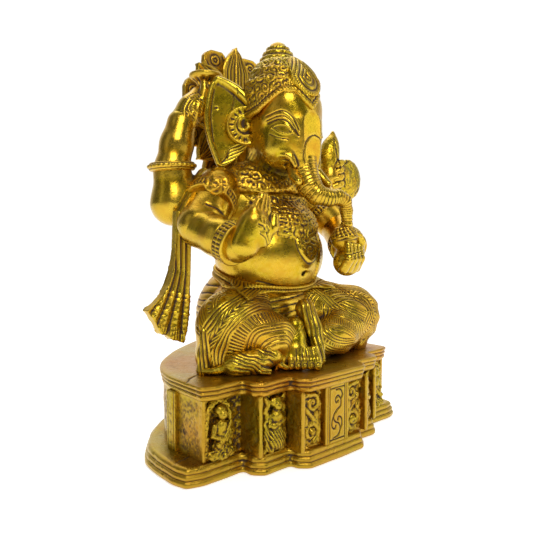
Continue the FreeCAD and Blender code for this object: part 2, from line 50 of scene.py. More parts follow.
from mathutils import Vector

# Brass Ganesha: every casting is sculpted here as a distance field, meshed, and chased with
# engraved lines, hatching, beads and grain.  Lengths are in millimetres about the figure's
# own middle (x to its left hand, y to its back, z up) and are moved on to the frame at the end.
# Throughout, p holds points as rows, n the normals there, and k is the width of a blend.

QUICK = 1.0
BLOCK = 8                   # samples along the edge of one meshing block
BLOCKS_AT_ONCE = 400
NOISE_SIZE = 32
STUD_X, STUD_Y = 26.0, 6.0
SEAT = 52.0                 # top of the pedestal slab
ON_SLAB = SEAT - 0.4

MILLIMETRE = 0.001          # in the frame's metres
studs_low, studs_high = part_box("figure_studs")
stud_middle = (np.array(studs_low) + np.array(studs_high)) / 2 / MILLIMETRE
SHIFT = np.array([stud_middle[0], stud_middle[1] - STUD_Y, 0.0])
SLOTS = {part["node"]: part["material_slot"] for part in frame["record"]["subparts"]}
random = np.random.default_rng(11)
NOISE = random.random((NOISE_SIZE,) * 3).astype(np.float32)
SEED_STEP, CLEAR_OF_ZERO = 7.31, 500.0      # how far into the noise each seed starts


def vec(values):
    return np.array(values, np.float32)


def unit(values):
    values = np.array(values, float)
    return (values / np.linalg.norm(values)).astype(np.float32)


def length(d):
    return np.sqrt(np.einsum("ij,ij->i", d, d))


# ---------------------------------------------------------------- distance fields


def smooth_min(a, b, k):
    """The smaller of a and b, rounded off where they cross."""
    if k <= 0:
        return np.minimum(a, b)
    h = np.clip(0.5 + 0.5 * (b - a) / k, 0, 1)
    return b + (a - b) * h - k * h * (1 - h)


def union(*fields, k=0.0):
    """All the fields together."""
    def field(p):
        best = fields[0](p)
        for other in fields[1:]:
            best = smooth_min(best, other(p), k)
        return best
    return field


def cut(body, tool, k):
    """The body without the tool."""
    return lambda p: -smooth_min(-body(p), tool(p), k)


def common(body, tool, k):
    """What the body and the tool share."""
    return lambda p: -smooth_min(-body(p), -tool(p), k)


def ball(centre, radius):
    centre = vec(centre)
    return lambda p: length(p - centre) - radius


def axes_from(forward):
    """Rows: across, forward, up, with forward kept exact."""
    forward = unit(forward)
    across = unit(np.cross(forward, (0, 0, 1)))
    return np.array([across, forward, np.cross(across, forward)], np.float32)


def egg(centre, radii, axes=None):
    centre, radii = vec(centre), vec(radii)

    def field(p):
        q = p - centre
        if axes is not None:
            q = q @ axes.T
        k0 = length(q / radii)
        k1 = length(q / (radii * radii))
        return k0 * (k0 - 1) / np.maximum(k1, 1e-6)
    return field


def limb(*balls, k=0.0):
    """Rounded limb through balls given as (x, y, z, radius)."""
    rows = vec(balls)

    def field(p):
        best = None
        for a, b in zip(rows[:-1], rows[1:]):
            span = b[:3] - a[:3]
            d = p - a[:3]
            t = np.clip(d @ span / (span @ span), 0, 1)
            gap = length(d - t[:, None] * span) - (a[3] + t * (b[3] - a[3]))
            best = gap if best is None else smooth_min(best, gap, k)
        return best
    return field


def smooth_line(points, steps=5, closed=False):
    """Points along a smooth curve that passes through the given ones."""
    rows = np.array(points, float)
    count = len(rows)
    if closed:
        ends = rows[np.arange(-1, count + 2) % count]
        spans = count
    else:
        ends = np.vstack([2 * rows[0] - rows[1], rows, 2 * rows[-1] - rows[-2]])
        spans = count - 1
    curve = []
    for i in range(spans):
        a, b, c, d = ends[i:i + 4]
        for t in np.arange(steps) / steps:
            curve.append(0.5 * (2 * b + (c - a) * t + (2 * a - 5 * b + 4 * c - d) * t * t
                                + (3 * b - a - 3 * c + d) * t ** 3))
    if not closed:
        curve.append(rows[-1])
    return np.array(curve)


def cord(*points, k=0.0):
    return limb(*smooth_line(points, 4), k=k)


def block(centre, half, edge=0.6):
    centre, half = vec(centre), vec(half)

    def field(p):
        q = np.abs(p - centre) - half + edge
        return length(np.maximum(q, 0)) + np.minimum(q.max(axis=1), 0) - edge
    return field


def around(p, centre, axis, start=(0, 0, 1)):
    """Angle, distance from the axis and height along it."""
    axis = unit(axis)
    if abs(float(np.dot(start, axis))) > 0.95:
        start = (0, -1, 0)
    side = unit(np.array(start, float) - axis * float(np.dot(start, axis)))
    other = np.cross(axis, side)
    d = p - vec(centre)
    a, b = d @ side, d @ other
    return np.arctan2(b, a), np.hypot(a, b), d @ axis


def ring(centre, axis, major, minor, tall=None):
    tall = tall or minor

    def field(p):
        _, r, h = around(p, centre, axis)
        return (np.hypot((r - major) / minor, h / tall) - 1) * min(minor, tall)
    return field


def rounded(a, b, edge):
    """Distance from a solid that lies where a and b are both below zero, with its edge rounded."""
    a, b = a + edge, b + edge
    return np.hypot(np.maximum(a, 0), np.maximum(b, 0)) + np.minimum(np.maximum(a, b), 0) - edge


def disc(centre, axis, radius, half, edge=0.6):
    def field(p):
        _, r, h = around(p, centre, axis)
        return rounded(r - radius, np.abs(h) - half, edge)
    return field


def outline_gap(a, b, outline):
    """Signed distance of the points (a, b) from a closed outline."""
    corners = np.array(outline, np.float32)
    best = np.full(len(a), 1e9, np.float32)
    within = np.zeros(len(a), bool)
    for (ax, ay), (bx, by) in zip(corners, np.roll(corners, -1, axis=0)):
        ex, ey = bx - ax, by - ay
        da, db = a - ax, b - ay
        t = np.clip((da * ex + db * ey) / (ex * ex + ey * ey), 0, 1)
        best = np.minimum(best, (da - t * ex) ** 2 + (db - t * ey) ** 2)
        crosses = (ay > b) != (by > b)
        if ey:
            within ^= crosses & (da < ex * db / ey)
    return np.where(within, -1, 1) * np.sqrt(best)


def turned(profile, x, y):
    """Solid of revolution about the upright line through (x, y), swollen by half a millimetre."""
    outline = [(-r, z) for r, z in profile[::-1]] + list(profile)
    return lambda p: outline_gap(np.hypot(p[:, 0] - x, p[:, 1] - y), p[:, 2], outline) - 0.5


def sheet(outline, half, bend):
    """Upright plate with an (x, z) outline whose middle surface is y = bend(x, z)."""
    def field(p):
        across = np.abs(p[:, 1] - bend(p[:, 0], p[:, 2])) * 0.85 - half
        return rounded(outline_gap(p[:, 0], p[:, 2], outline), across, 0.5)
    return field


def mirror(field):
    flip = vec((-1, 1, 1))
    return lambda p: field(p * flip)


def folded(p, middle=0.0):
    """The points, each mirrored about x = middle on to the figure's right if it is on the left."""
    return np.column_stack([middle - np.abs(p[:, 0] - middle), p[:, 1], p[:, 2]])


def both(field, middle=0.0):
    """The field and its mirror image about x = middle."""
    return lambda p: field(folded(p, middle))


def moved(field, x, y):
    return lambda p: field(p - vec((x, y, 0)))


# ---------------------------------------------------------------- chasing


def ridge(s, width):
    """A bump along s = 0."""
    return np.exp(-(s / width) ** 2)


def ridges(s, places, width):
    return sum(ridge(s - place, width) for place in places)


def wave(t, period):
    """A run of bumps from 0 to 1."""
    return 0.5 + 0.5 * np.cos(t * (2 * math.pi / period))


def inside(s, low, high, soft=0.5):
    """1 between low and high, fading to 0 just within them."""
    return np.clip((s - low) / soft, 0, 1) * np.clip((high - s) / soft, 0, 1)


def noise(p, size, seed=0):
    """Smooth noise from 0 to 1 with lumps of the given size."""
    q = p / size + seed * SEED_STEP + CLEAR_OF_ZERO
    cell = np.floor(q).astype(int)
    f = q - cell
    f = f * f * (3 - 2 * f)
    total = 0
    for i in (0, 1):
        for j in (0, 1):
            for k in (0, 1):
                weight = (f[:, 0] if i else 1 - f[:, 0]) * (f[:, 1] if j else 1 - f[:, 1])
                weight = weight * (f[:, 2] if k else 1 - f[:, 2])
                corner = (cell + (i, j, k)) % NOISE_SIZE
                total = total + weight * NOISE[corner[:, 0], corner[:, 1], corner[:, 2]]
    return total


def grain(p, size=1.6, seed=0):
    return (noise(p, size, seed) + 0.5 * noise(p, size * 0.5, seed + 1)) / 1.5 - 0.5


def scrolls(a, b, cell):
    """Curling leaves on a running grid, from surface coordinates in millimetres."""
    row = np.floor(b / cell)
    a = a + 0.5 * cell * (row % 2)
    u = (a / cell) % 1 - 0.5
    v = (b / cell) % 1 - 0.5
    rho = np.hypot(u, v)
    hand = np.where(np.floor(a / cell) % 2 > 0, 1, -1)
    return np.cos(hand * np.arctan2(v, u) + 12 * rho) * np.clip(1.2 - (rho / 0.6) ** 4, 0, 1)


VIEW = ((0.749, -0.663, 0.0), (0.0, 0.0, 1.0))      # across and up, seen from the front right
FRONT = ((1.0, 0.0, 0.0), (0.0, 0.0, 1.0))
TOP = ((1.0, 0.0, 0.0), (0.0, 1.0, 0.0))
STROKE_REACH = 4.0
FAR = 99.0


def flat(p, plane):
    return p @ vec(plane[0]), p @ vec(plane[1])


def line_gap(a, b, line):
    """Distance of the points (a, b) from a chain of straight pieces."""
    gap = np.full(len(a), 1e4, np.float32)
    for (ax, ay), (bx, by) in zip(line[:-1], line[1:]):
        ex, ey = bx - ax, by - ay
        t = np.clip(((a - ax) * ex + (b - ay) * ey) / (ex * ex + ey * ey + 1e-9), 0, 1)
        gap = np.minimum(gap, (a - ax - t * ex) ** 2 + (b - ay - t * ey) ** 2)
    return np.sqrt(gap)


def stroke(p, points, plane=VIEW):
    """Distance from a smooth line through the points, measured square to the plane's view."""
    line = np.column_stack(flat(smooth_line(points), plane))
    a, b = flat(p, plane)
    low, high = line.min(axis=0) - STROKE_REACH, line.max(axis=0) + STROKE_REACH
    near = (a > low[0]) & (a < high[0]) & (b > low[1]) & (b < high[1])
    gap = np.full(len(p), FAR, np.float32)
    gap[near] = line_gap(a[near], b[near], line)
    return gap


def facing(n):
    """1 on the side turned to the front right, 0 on the far side."""
    return np.clip((n @ vec(np.cross(*VIEW))) * 4, 0, 1)


def square_on(part):
    """1 where that part of the normal is large either way, 0 on the edges of a plate."""
    return np.clip(np.abs(part) * 3 - 1.5, 0, 1)


def patch_gap(p, points):
    """Signed distance from a smooth closed patch, seen from the front right."""
    return outline_gap(*flat(p, VIEW), np.column_stack(flat(smooth_line(points, 4, True), VIEW)))


# ---------------------------------------------------------------- meshing


def surface(field, low, high, voxel):
    """Quads where the field is zero, worked out in blocks near the surface only."""
    voxel = voxel * QUICK
    low = np.array(low, float) - 2 * voxel
    high = np.array(high, float) + 2 * voxel
    count = np.ceil((high - low) / (voxel * BLOCK)).astype(int)
    values = np.empty(count * BLOCK, np.float32)
    cells = [np.arange(count[i] * BLOCK) * voxel + low[i] for i in range(3)]
    middle = [c.reshape(-1, BLOCK).mean(axis=1) for c in cells]
    grid = np.stack(np.meshgrid(*middle, indexing="ij"), axis=-1).reshape(-1, 3).astype(np.float32)
    reach = 0.87 * BLOCK * voxel * 1.5      # half a block's diagonal, and half as much again
    coarse = field(grid)
    near = np.abs(coarse) < reach
    parts = values.reshape(count[0], BLOCK, count[1], BLOCK, count[2], BLOCK)
    parts = parts.transpose(0, 2, 4, 1, 3, 5)
    parts[...] = np.where(coarse < 0, -reach, reach).reshape(*count, 1, 1, 1)
    steps = (np.arange(BLOCK) - (BLOCK - 1) / 2) * voxel
    local = np.stack(np.meshgrid(steps, steps, steps, indexing="ij"), axis=-1).reshape(-1, 3)
    found = np.empty((int(near.sum()), BLOCK ** 3), np.float32)
    centres = grid[near]
    for start in range(0, len(centres), BLOCKS_AT_ONCE):
        p = centres[start:start + BLOCKS_AT_ONCE, None, :] + local[None].astype(np.float32)
        found[start:start + BLOCKS_AT_ONCE] = field(p.reshape(-1, 3)).reshape(-1, BLOCK ** 3)
    parts[near.reshape(tuple(count))] = found.reshape(-1, BLOCK, BLOCK, BLOCK)
    space = openvdb.FloatGrid(background=float(reach))
    space.copyFromArray(np.ascontiguousarray(values))
    points, quads = space.convertToQuads(isovalue=0.0)
    return points * np.float32(voxel) + low.astype(np.float32), quads.astype(np.int64)


def spread(index, values, count):
    """Sums the rows of values that share an index."""
    return np.stack([np.bincount(index, values[:, i], count) for i in range(values.shape[1])], axis=1)


def normals(p, quads):
    n = np.cross(p[quads[:, 2]] - p[quads[:, 0]], p[quads[:, 3]] - p[quads[:, 1]])
    total = sum(spread(quads[:, i], n, len(p)) for i in range(4))
    return (total / np.maximum(length(total), 1e-9)[:, None]).astype(np.float32)


def softened(p, quads, rounds):
    """The points drawn towards their neighbours, so many times over."""
    heads = quads.ravel()
    tails = np.roll(quads, 1, axis=1).ravel()
    degree = np.maximum(np.bincount(heads, minlength=len(p)), 1)[:, None]
    for _ in range(rounds):
        p = 0.5 * p + 0.5 * spread(heads, p[tails], len(p)) / degree
    return p


# Fine hollows gather patina; broad ones, between parts and under limbs, get painted shade.
HOLLOWS = ((3, 2.2), (24, 1.7))     # rounds of softening and the weight of what they fill


def hollows(p, n, quads):
    """How deep each point lies below its surroundings, finely and broadly."""
    return sum(weight * np.einsum("ij,ij->i", softened(p, quads, rounds) - p, n)
               for rounds, weight in HOLLOWS)


def make_object(name, p, quads, patina_and_shade, tone):
    """Mesh object in the frame's metres, with patina and painted shade, and tone, stored at its points."""
    mesh = bpy.data.meshes.new(name)
    mesh.vertices.add(len(p))
    mesh.vertices.foreach_set("co", ((p + SHIFT) * MILLIMETRE).astype(np.float32).ravel())
    mesh.loops.add(quads.size)
    mesh.loops.foreach_set("vertex_index", quads.astype(np.int32).ravel())
    mesh.polygons.add(len(quads))
    mesh.polygons.foreach_set("loop_start", np.arange(0, quads.size, 4, dtype=np.int32))
    mesh.polygons.foreach_set("use_smooth", np.ones(len(quads), bool))
    for layer, values in (("patina_and_shade", patina_and_shade), ("tone", tone)):
        mesh.attributes.new(layer, "FLOAT", "POINT").data.foreach_set("value", values.astype(np.float32))
    mesh.update(calc_edges=True)
    mesh.validate()
    piece = bpy.data.objects.new(name, mesh)
    bpy.context.scene.collection.objects.link(piece)
    return piece


# How green (above zero) or red (below zero) a piece is; the rest are at zero.
TONES = {"right_ear": 0.75, "left_ear": 0.6, "ear_flowers": 0.6, "mouse": 0.5, "right_foot": 0.3,
         "pedestal_slab": -0.5, "right_armband": -0.35, "shawl": -0.3, "niche_scrolls": 0.4,
         "seated_musicians": 0.5, "standing_musicians": 0.3, "modak": -0.3, "right_leg": -0.15,
         "right_front_upper_arm": -0.2, "halo_disc": -0.3, "halo_back_petals": -0.25, "axe": 0.25}


ALL_OVER, IN_HOLLOWS = 0.27, 1.9    # patina on a flat surface, and the gain with depth of patina and painted shade


def finish_piece(node, p, quads, dark):
    """Adds one chased casting to the scene in place of its node."""
    n = normals(p, quads)
    depth = hollows(p, n, quads)
    # Darker with depth: patina in fine hollows, painted shade in broad ones between parts and under limbs.
    patina_and_shade = np.clip(ALL_OVER + IN_HOLLOWS * depth + dark, 0, 1)
    tone = TONES.get(node, 0.0) + 1.1 * (noise(p, 26.0, 81) - 0.5)
    piece = make_object(node + "_cast", p, quads, patina_and_shade, tone)
    piece.data.materials.append(MATERIALS[SLOTS[node]])
    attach(piece, "root")
    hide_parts(node)


def sculpt(node, field, detail=None, voxel=0.6, grow=1.5, floor=None):
    """Meshes one casting inside its node's own box and chases its surface."""
    low, high = [np.array(corner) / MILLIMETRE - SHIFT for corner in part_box(node)]
    low, high = low - grow, high + grow
    if floor is not None:
        low[2] = floor
    room = block((low + high) / 2, (high - low) / 2, 0.1)
    p, quads = surface(common(field, room, 0.2), low, high, voxel)
    n = normals(p, quads)
    outwards = np.einsum("ij,ij->i", p - p.mean(axis=0), n).mean()
    if outwards < 0:
        quads, n = quads[:, ::-1].copy(), -n
    height = 0.12 * grain(p, 3.0) + 0.06 * grain(p, 1.0, 3)     # the skin of the casting
    dark = np.zeros(len(p))
    if detail:
        extra, dark = detail(p, n)
        height = height + extra
    finish_piece(node, p + n * height[:, None], quads, dark)


# ---------------------------------------------------------------- materials


def add(tree, kind, **inputs):
    """A new shader node with the named inputs set."""
    made = tree.nodes.new(kind)
    for name, value in inputs.items():
        made.inputs[name.replace("_", " ")].default_value = value
    return made


def attribute(tree, name):
    made = tree.nodes.new("ShaderNodeAttribute")
    made.attribute_name = name
    return made.outputs["Fac"]


def mixed(tree, factor, first, second):
    """Colour socket between two colours (values or sockets)."""
    mix = tree.nodes.new("ShaderNodeMix")
    mix.data_type = "RGBA"
    tree.links.new(factor, mix.inputs["Factor"])
    for value, name in ((first, "A"), (second, "B")):
        socket = [s for s in mix.inputs if s.name == name and s.type == "RGBA"][0]
        if isinstance(value, tuple):
            socket.default_value = (*value, 1.0)
        else:
            tree.links.new(value, socket)
    return [s for s in mix.outputs if s.type == "RGBA"][0]


def ramp(tree, source, low, high, start=0.0, end=1.0):
    """The source, mapped from low..high on to start..end."""
    made = tree.nodes.new("ShaderNodeMapRange")
    tree.links.new(source, made.inputs["Value"])
    for name, value in (("From Min", low), ("From Max", high), ("To Min", start), ("To Max", end)):
        made.inputs[name].default_value = value
    return made.outputs["Result"]


def metal(name, colours, roughness, grit, dent):
    """Brass with drifting tone, patina and painted shade in its hollows, rubbed edges brightened as wear and
    painted highlight, and fine casting grain.
    """
    bright, warm, green, dark, worn_and_highlit = colours
    material = bpy.data.materials.new(name)
    material.use_nodes = True
    tree = material.node_tree
    tree.nodes.clear()
    link = tree.links.new
    place = add(tree, "ShaderNodeTexCoord").outputs["Object"]
    patina_and_shade, tone = attribute(tree, "patina_and_shade"), attribute(tree, "tone")

    def clouds(scale, detail):
        made = add(tree, "ShaderNodeTexNoise", Scale=scale, Detail=detail, Roughness=0.6)
        link(place, made.inputs["Vector"])
        return made.outputs["Fac"]

    broad, middle, fine = clouds(28.0, 3.0), clouds(150.0, 4.0), clouds(1500.0, 3.0)
    colour = mixed(tree, ramp(tree, broad, 0.42, 0.62, 0.0, 0.75), bright, green)
    colour = mixed(tree, ramp(tree, tone, 0.05, 1.0), colour, green)
    colour = mixed(tree, ramp(tree, middle, 0.5, 0.8, 0.0, 0.7), colour, warm)
    colour = mixed(tree, ramp(tree, tone, -0.05, -1.0), colour, warm)
    # Darkened where the stored value is high, as patina and painted shade in hollows.
    recess = ramp(tree, patina_and_shade, 0.35, 0.95)
    colour = mixed(tree, recess, colour, dark)
    # Raised places take the rubbed colour, as wear and a painted highlight.
    colour = mixed(tree, ramp(tree, patina_and_shade, 0.0, 0.2, 0.35, 0.0), colour, worn_and_highlit)
    shader = add(tree, "ShaderNodeBsdfPrincipled", Coat_Weight=0.04, Coat_Roughness=0.2)
    link(colour, shader.inputs["Base Color"])
    link(ramp(tree, recess, 0.0, 1.0, 1.0, 0.35), shader.inputs["Metallic"])
    rough = tree.nodes.new("ShaderNodeMath")
    rough.operation = "ADD"
    link(ramp(tree, middle, 0.3, 0.7, roughness - 0.06, roughness + 0.08), rough.inputs[0])
    link(ramp(tree, recess, 0.0, 1.0, 0.0, 0.35), rough.inputs[1])
    link(rough.outputs[0], shader.inputs["Roughness"])
    dents = add(tree, "ShaderNodeBump", Strength=dent, Distance=0.0006)
    link(clouds(420.0, 2.0), dents.inputs["Height"])
    bump = add(tree, "ShaderNodeBump", Strength=grit, Distance=0.0004)
    link(fine, bump.inputs["Height"])
    link(dents.outputs["Normal"], bump.inputs["Normal"])
    link(bump.outputs["Normal"], shader.inputs["Normal"])
    out = tree.nodes.new("ShaderNodeOutputMaterial")
    link(shader.outputs[0], out.inputs["Surface"])
    return material


# Bright, warm, green, dark and rubbed colours of each metal: dark is patina and painted shade, rubbed is wear
# and painted highlight.
BRASS = ((0.55, 0.32, 0.018), (0.50, 0.20, 0.007), (0.43, 0.33, 0.008), (0.05, 0.02, 0.003),
         (0.64, 0.44, 0.06))
DULL_BRASS = ((0.42, 0.235, 0.014), (0.42, 0.17, 0.008), (0.36, 0.27, 0.009), (0.05, 0.02, 0.003),
              (0.54, 0.36, 0.045))
STEEL = ((0.5, 0.5, 0.5), (0.42, 0.41, 0.4), (0.46, 0.46, 0.47), (0.05, 0.05, 0.05), (0.62, 0.62, 0.62))
MATERIALS = {name: metal(name, colours, roughness, grit, dent) for name, colours, roughness, grit, dent in (
    ("polished_brass", BRASS, 0.27, 0.16, 0.12), ("engraved_brass", BRASS, 0.28, 0.22, 0.2),
    ("chased_brass", BRASS, 0.30, 0.3, 0.25), ("pedestal_brass", DULL_BRASS, 0.31, 0.4, 0.45),
    ("fixing_steel", STEEL, 0.35, 0.2, 0.1))}


# ---------------------------------------------------------------- body

BELLY = egg((0, -3, 119), (38, 33, 31))
HIPS = egg((0, 10, 80), (45, 33, 36))
CHEST = egg((0, 3, 150), (36, 22, 27))


def torso_field():
    navel = limb((1.5, -38, 107.5, 1.2), (1.5, -32, 108.5, 1.6))
    fold = egg((1.5, -33, 111), (4.0, 2.2, 1.3))
    return cut(union(BELLY, CHEST, fold, k=3.0), navel, 1.5)


# Lines of the chasing, each a run of points that a smooth curve passes through.
SASH = [(-10, -28, 139), (-6, -33, 132), (-5, -35, 124), (0, -36, 117), (5, -36, 115), (11, -34, 118),
        (14, -33, 127), (8, -31, 137), (0, -28, 143)]
SACRED_CORD = [(12, -24, 146), (17, -29, 136), (19, -29, 126), (17, -31, 114), (12, -33, 104)]


def torso_detail(p, n):
    near = facing(n)
    gap = patch_gap(p, SASH)
    cloth = np.clip(0.5 - gap, 0, 1) * near
    a, b = flat(p, VIEW)
    pattern = scrolls(a, b, 6.0) * inside(-gap, 2.2, 99)
    fringe = wave(a * 0.8 + b, 2.0) * inside(-gap, 0.3, 2.4)
    thread = ridge(stroke(p, SACRED_CORD), 1.0) * near
    twist = wave(p[:, 2] + 0.6 * a, 2.4) * thread
    height = cloth * (0.8 + 0.35 * pattern + 0.35 * fringe) + 0.9 * thread + 0.25 * twist
    crease = ridge(stroke(p, [(-26, -22, 104), (-12, -30, 100), (4, -33, 99), (16, -31, 101)], FRONT), 0.9)
    height -= 0.5 * crease * near
    return height, cloth * (0.16 + 0.2 * grain(p, 2.0)) + 0.25 * crease * near


def hips_detail(p, n):
    run = p[:, 2] + 2.0 * noise(p, 12.0, 4) - 0.12 * p[:, 0]
    folds = wave(run, 4.2) ** 3
    return -0.5 * folds, 0.25 * folds


RIGHT_LEG = union(limb((-20, 0, 84, 22), (-44, -16, 80, 18), (-22, -28, 70, 15), (-8, -28, 68, 11), k=4.0),
                  limb((-44, -14, 78, 17), (-45, -12, 60, 17)), k=5.0)
LEFT_LEG = union(limb((23, -1, 83, 21), (61.5, -20, 75, 20.5), (34, -32, 66, 13), (12, -34, 62, 10), k=4.0),
                 limb((60, -19, 70, 18.5), (59, -17, 60, 17.5)), k=5.0)


def cloth_lines(s, t, bundles, combs, leaves):
    """Engraved cloth: bundles of three lines, comb hatching and leaf sprigs along a surface field."""
    cutting = 0
    for place in bundles:
        cutting = cutting + ridges(s, (place - 1.7, place, place + 1.7), 0.36)
    for low, high in combs:
        cutting = cutting + inside(s, low, high) * wave(t, 2.1) ** 2
    for low, high in leaves:
        mid = (s - (low + high) / 2) / (high - low)
        sprig = wave(t + np.abs(mid) * 9.0, 3.2) ** 2 + ridge(mid * (high - low), 0.5)
        cutting = cutting + inside(s, low, high) * sprig
    return np.clip(cutting, 0, 1.4)


def right_leg_detail(p, n):
    x, y, z = p.T
    d = p - vec((-30, -50, 60))
    s = length(d * vec((0.9, 0.85, 1))) + 3.5 * (noise(p, 12.0, 95) - 0.5)
    t = np.arctan2(d[:, 2], d[:, 0] * 0.8 - d[:, 1] * 0.5) * 30
    low_part = cloth_lines(s, t, (14, 20.5, 33.5, 43), ((23.5, 30.5),), ((36, 41),))
    knee = length((p - vec((-52, -30, 96))) * vec((1, 1, 0.9)))
    spin = np.arctan2(z - 96, x * 0.75 - y * 0.66 + 19) * 16
    upper = cloth_lines(knee, spin, (12, 21), ((14, 17),), ((24, 31),))
    top = inside(s, 45.5, 200, 1.0)
    cutting = low_part * (1 - top) + upper * top
    cutting = cutting * (0.4 + 0.9 * noise(p, 12.0, 91))
    rolls = wave(s + 4.0 * noise(p, 14.0, 93), 13.0)
    return 0.9 * rolls - 0.5 * cutting - 0.4, 0.3 * cutting - 0.06 * rolls


def left_leg_detail(p, n):
    x, y, z = p.T
    d = p - vec((34, -52, 84))
    s = length(d * vec((0.75, 0.9, 1)))
    t = np.arctan2(d[:, 2], d[:, 0]) * 26
    cross = (p - vec((40, -36, 78))) @ unit((1.0, 0.25, 0.55))
    fall = z + 0.45 * x + 4.0 * noise(p, 15.0, 94)
    under = cloth_lines(s, t, (22, 29.5), ((24.5, 27),), ((32, 37),))
    over = cloth_lines(fall, x - y, (84, 95, 104), ((86.5, 92.5),), ((97.5, 101.5),))
    core = inside(s, -1, 20, 1.0)
    band = ridges(cross, (-2.0, 0, 2.0, 15.0, 17.0), 0.42)
    cutting = under * (1 - core) + over * core
    cutting = np.clip(cutting * (1 - inside(cross, -3.5, 3.5)) + band, 0, 1.3)
    cutting = cutting * (0.4 + 0.9 * noise(p, 12.0, 92))
    rolls = wave(fall, 12.0)
    return 0.8 * rolls - 0.5 * cutting - 0.4, 0.3 * cutting - 0.06 * rolls


def foot_field():
    sole = limb((-6, -33, 76, 5.6), (-8.5, -36, 69, 6.4), (-11.5, -39, 62.5, 7.2), (-13, -41, 57, 6.6), k=3.0)
    heel = limb((-12, -38, 61, 5.5), (-23, -36, 58, 4.6), (-25, -36, 55, 4.2), k=2.0)
    shape = union(sole, heel, k=3.0)
    for i in range(5):
        size = 2.9 if i == 4 else 2.1 + 0.08 * i
        shape = union(shape, limb((-17.0 + 3.0 * i, -40.2 - 2.0 * i, 63.0, size * 0.95),
                                  (-18.6 + 3.1 * i, -43.0 - 2.3 * i, 58.0, size),
                                  (-19.6 + 3.1 * i, -44.2 - 2.3 * i, 54.8, size), k=0.8), k=0.7)
    return shape


def foot_detail(p, n):
    x, y, z = p.T
    nails = 0
    gaps = 0
    for i in range(5):
        tip = vec((-20.6 + 3.1 * i, -46.4 - 2.3 * i, 55.4))
        nails = nails + ridge(length((p - tip) * vec((1, 1, 0.8))) - 1.5, 0.35)
        gap = stroke(p, [(-15.4 + 3.0 * i, -44 - 2.0 * i, 64.5), (-17.2 + 3.1 * i, -46 - 2.3 * i, 58)])
        gaps = gaps + ridge(gap, 0.5) * (i < 4)
    anklet = ridges(z - 0.5 * x + 0.3 * y, (66.0, 68.2), 0.6)
    return -0.35 * nails - 0.3 * gaps + 0.4 * anklet, 0.35 * nails + 0.35 * gaps


def pleats_field():
    fold = limb((3, -33, 86, 6.0), (5, -38, 74, 5.5), (4, -43, 64, 4.0), (3, -47, 56, 3.2), k=3.0)
    hem = limb((1.0, -46, 62, 1.4), (-1.0, -50.5, 55, 1.6))
    return union(fold, hem, k=1.5)


def pleats_detail(p, n):
    x, y, z = p.T
    fan = x * 0.9 - y * 0.4 + 0.12 * z + 1.0 * noise(p, 8.0, 2)
    folds = wave(fan, 3.0)
    hatch = wave(z, 2.0) * inside(z, 53, 58)
    return 0.55 * folds - 0.3 - 0.3 * hatch, 0.25 * (1 - folds)


def hem_field():
    return limb((-60, -16, 76, 4), (-61, -15, 62, 4.2), (-61.5, -15, 54, 4.5), k=2.0)


def hem_detail(p, n):
    x, y, z = p.T
    folds = wave(x * 0.8 - y + 0.15 * z, 3.2)
    return 0.8 * folds - 0.4, 0.3 * (1 - folds)


def mouse_field():
    body = limb((-50, -30, 58, 7.5), (-38, -35, 59, 7.5), (-29, -38, 61, 5), (-24, -40, 59, 3), k=3.0)
    tail = cord((-55, -27, 56, 2.6), (-61, -22, 54.5, 2.0), (-64, -17, 54.3, 1.7))
    ears = union(egg((-31, -34.5, 66), (2.6, 1.6, 2.8)), egg((-33, -39.5, 65.5), (2.4, 1.4, 2.6)))
    paws = union(limb((-26, -41, 56, 1.8), (-22, -43, 54, 1.5)),
                 limb((-40, -41, 55, 2.5), (-36, -43, 54, 1.8)))
    eye = ball((-27.5, -41.5, 61.8), 1.1)
    return union(union(body, tail, paws, k=1.5), ears, eye, k=0.4)


def mouse_detail(p, n):
    x, _, z = p.T
    run = x * 0.5 + z * 1.1 + 7.0 * noise(p, 6.0, 9)
    fur = wave(run, 3.0) ** 2 * inside(x, -58, -30, 3.0)
    return 0.45 * grain(p, 2.2, 10) - 0.45 * fur, 0.22 * fur


BELT, BELT_AXIS = (0, -2, 104), (0, -0.242, 0.970)


def belt_field():
    """Two ropes lying on the belly and the lap."""
    body = union(BELLY, HIPS, RIGHT_LEG, LEFT_LEG, k=5.0)

    def field(p):
        gap = body(p) - 0.4
        rise = (p - vec(BELT)) @ vec(BELT_AXIS)
        return smooth_min(np.hypot(gap, rise - 1.5), np.hypot(gap, rise + 1.5), 0.3) - 1.5
    return field


def belt_detail(p, n):
    turn, _, h = around(p, BELT, BELT_AXIS, (1, 0, 0))
    strand = wave(turn * 36 + np.where(h > 0, 1, -1) * h * 1.2, 2.2)
    return 0.35 * strand - 0.2, 0.3 * (1 - strand)


def shawl_field():
    """Cape over the shoulders with a wavering hem."""
    body = egg((0, 2, 156), (40, 24.6, 26))
    return common(body, lambda p: 157.5 - p[:, 2] + 4.0 * (noise(p, 9.0, 16) - 0.5), 5.0)


def shawl_detail(p, n):
    x, y, z = p.T
    turn, r, _ = around(p, (0, -4, 170), (0, 0.25, 1), (0, -1, 0))
    folds = wave(z - 0.5 * r + 5.0 * noise(p, 10.0, 5), 6.0)
    gap = length(p - vec((-18, -10.4, 166.5)))
    spin = np.cos(6 * np.arctan2(z - 166.5, x * 0.75 - y * 0.66 + 6.6))
    rosette = inside(gap, -1, 5.5) * (0.5 + 0.5 * np.cos(gap * 2.4) + 0.3 * spin * inside(gap, 2, 5.5))
    leaves = scrolls(turn * 26, z - 0.4 * r, 6.5)
    edge = ridges(z - 161.5 - 0.15 * y, (0.0, 2.4), 0.6)
    clear = 1 - inside(gap, -1, 5.8)
    rough = grain(p, 1.6, 6) + 0.6 * grain(p, 3.4, 7)
    height = clear * (0.22 * leaves + 0.3 * folds - 0.1 + 0.2 * edge) + 0.6 * rosette + 0.7 * rough
    return height, 0.04 - 0.05 * leaves - 0.1 * rough


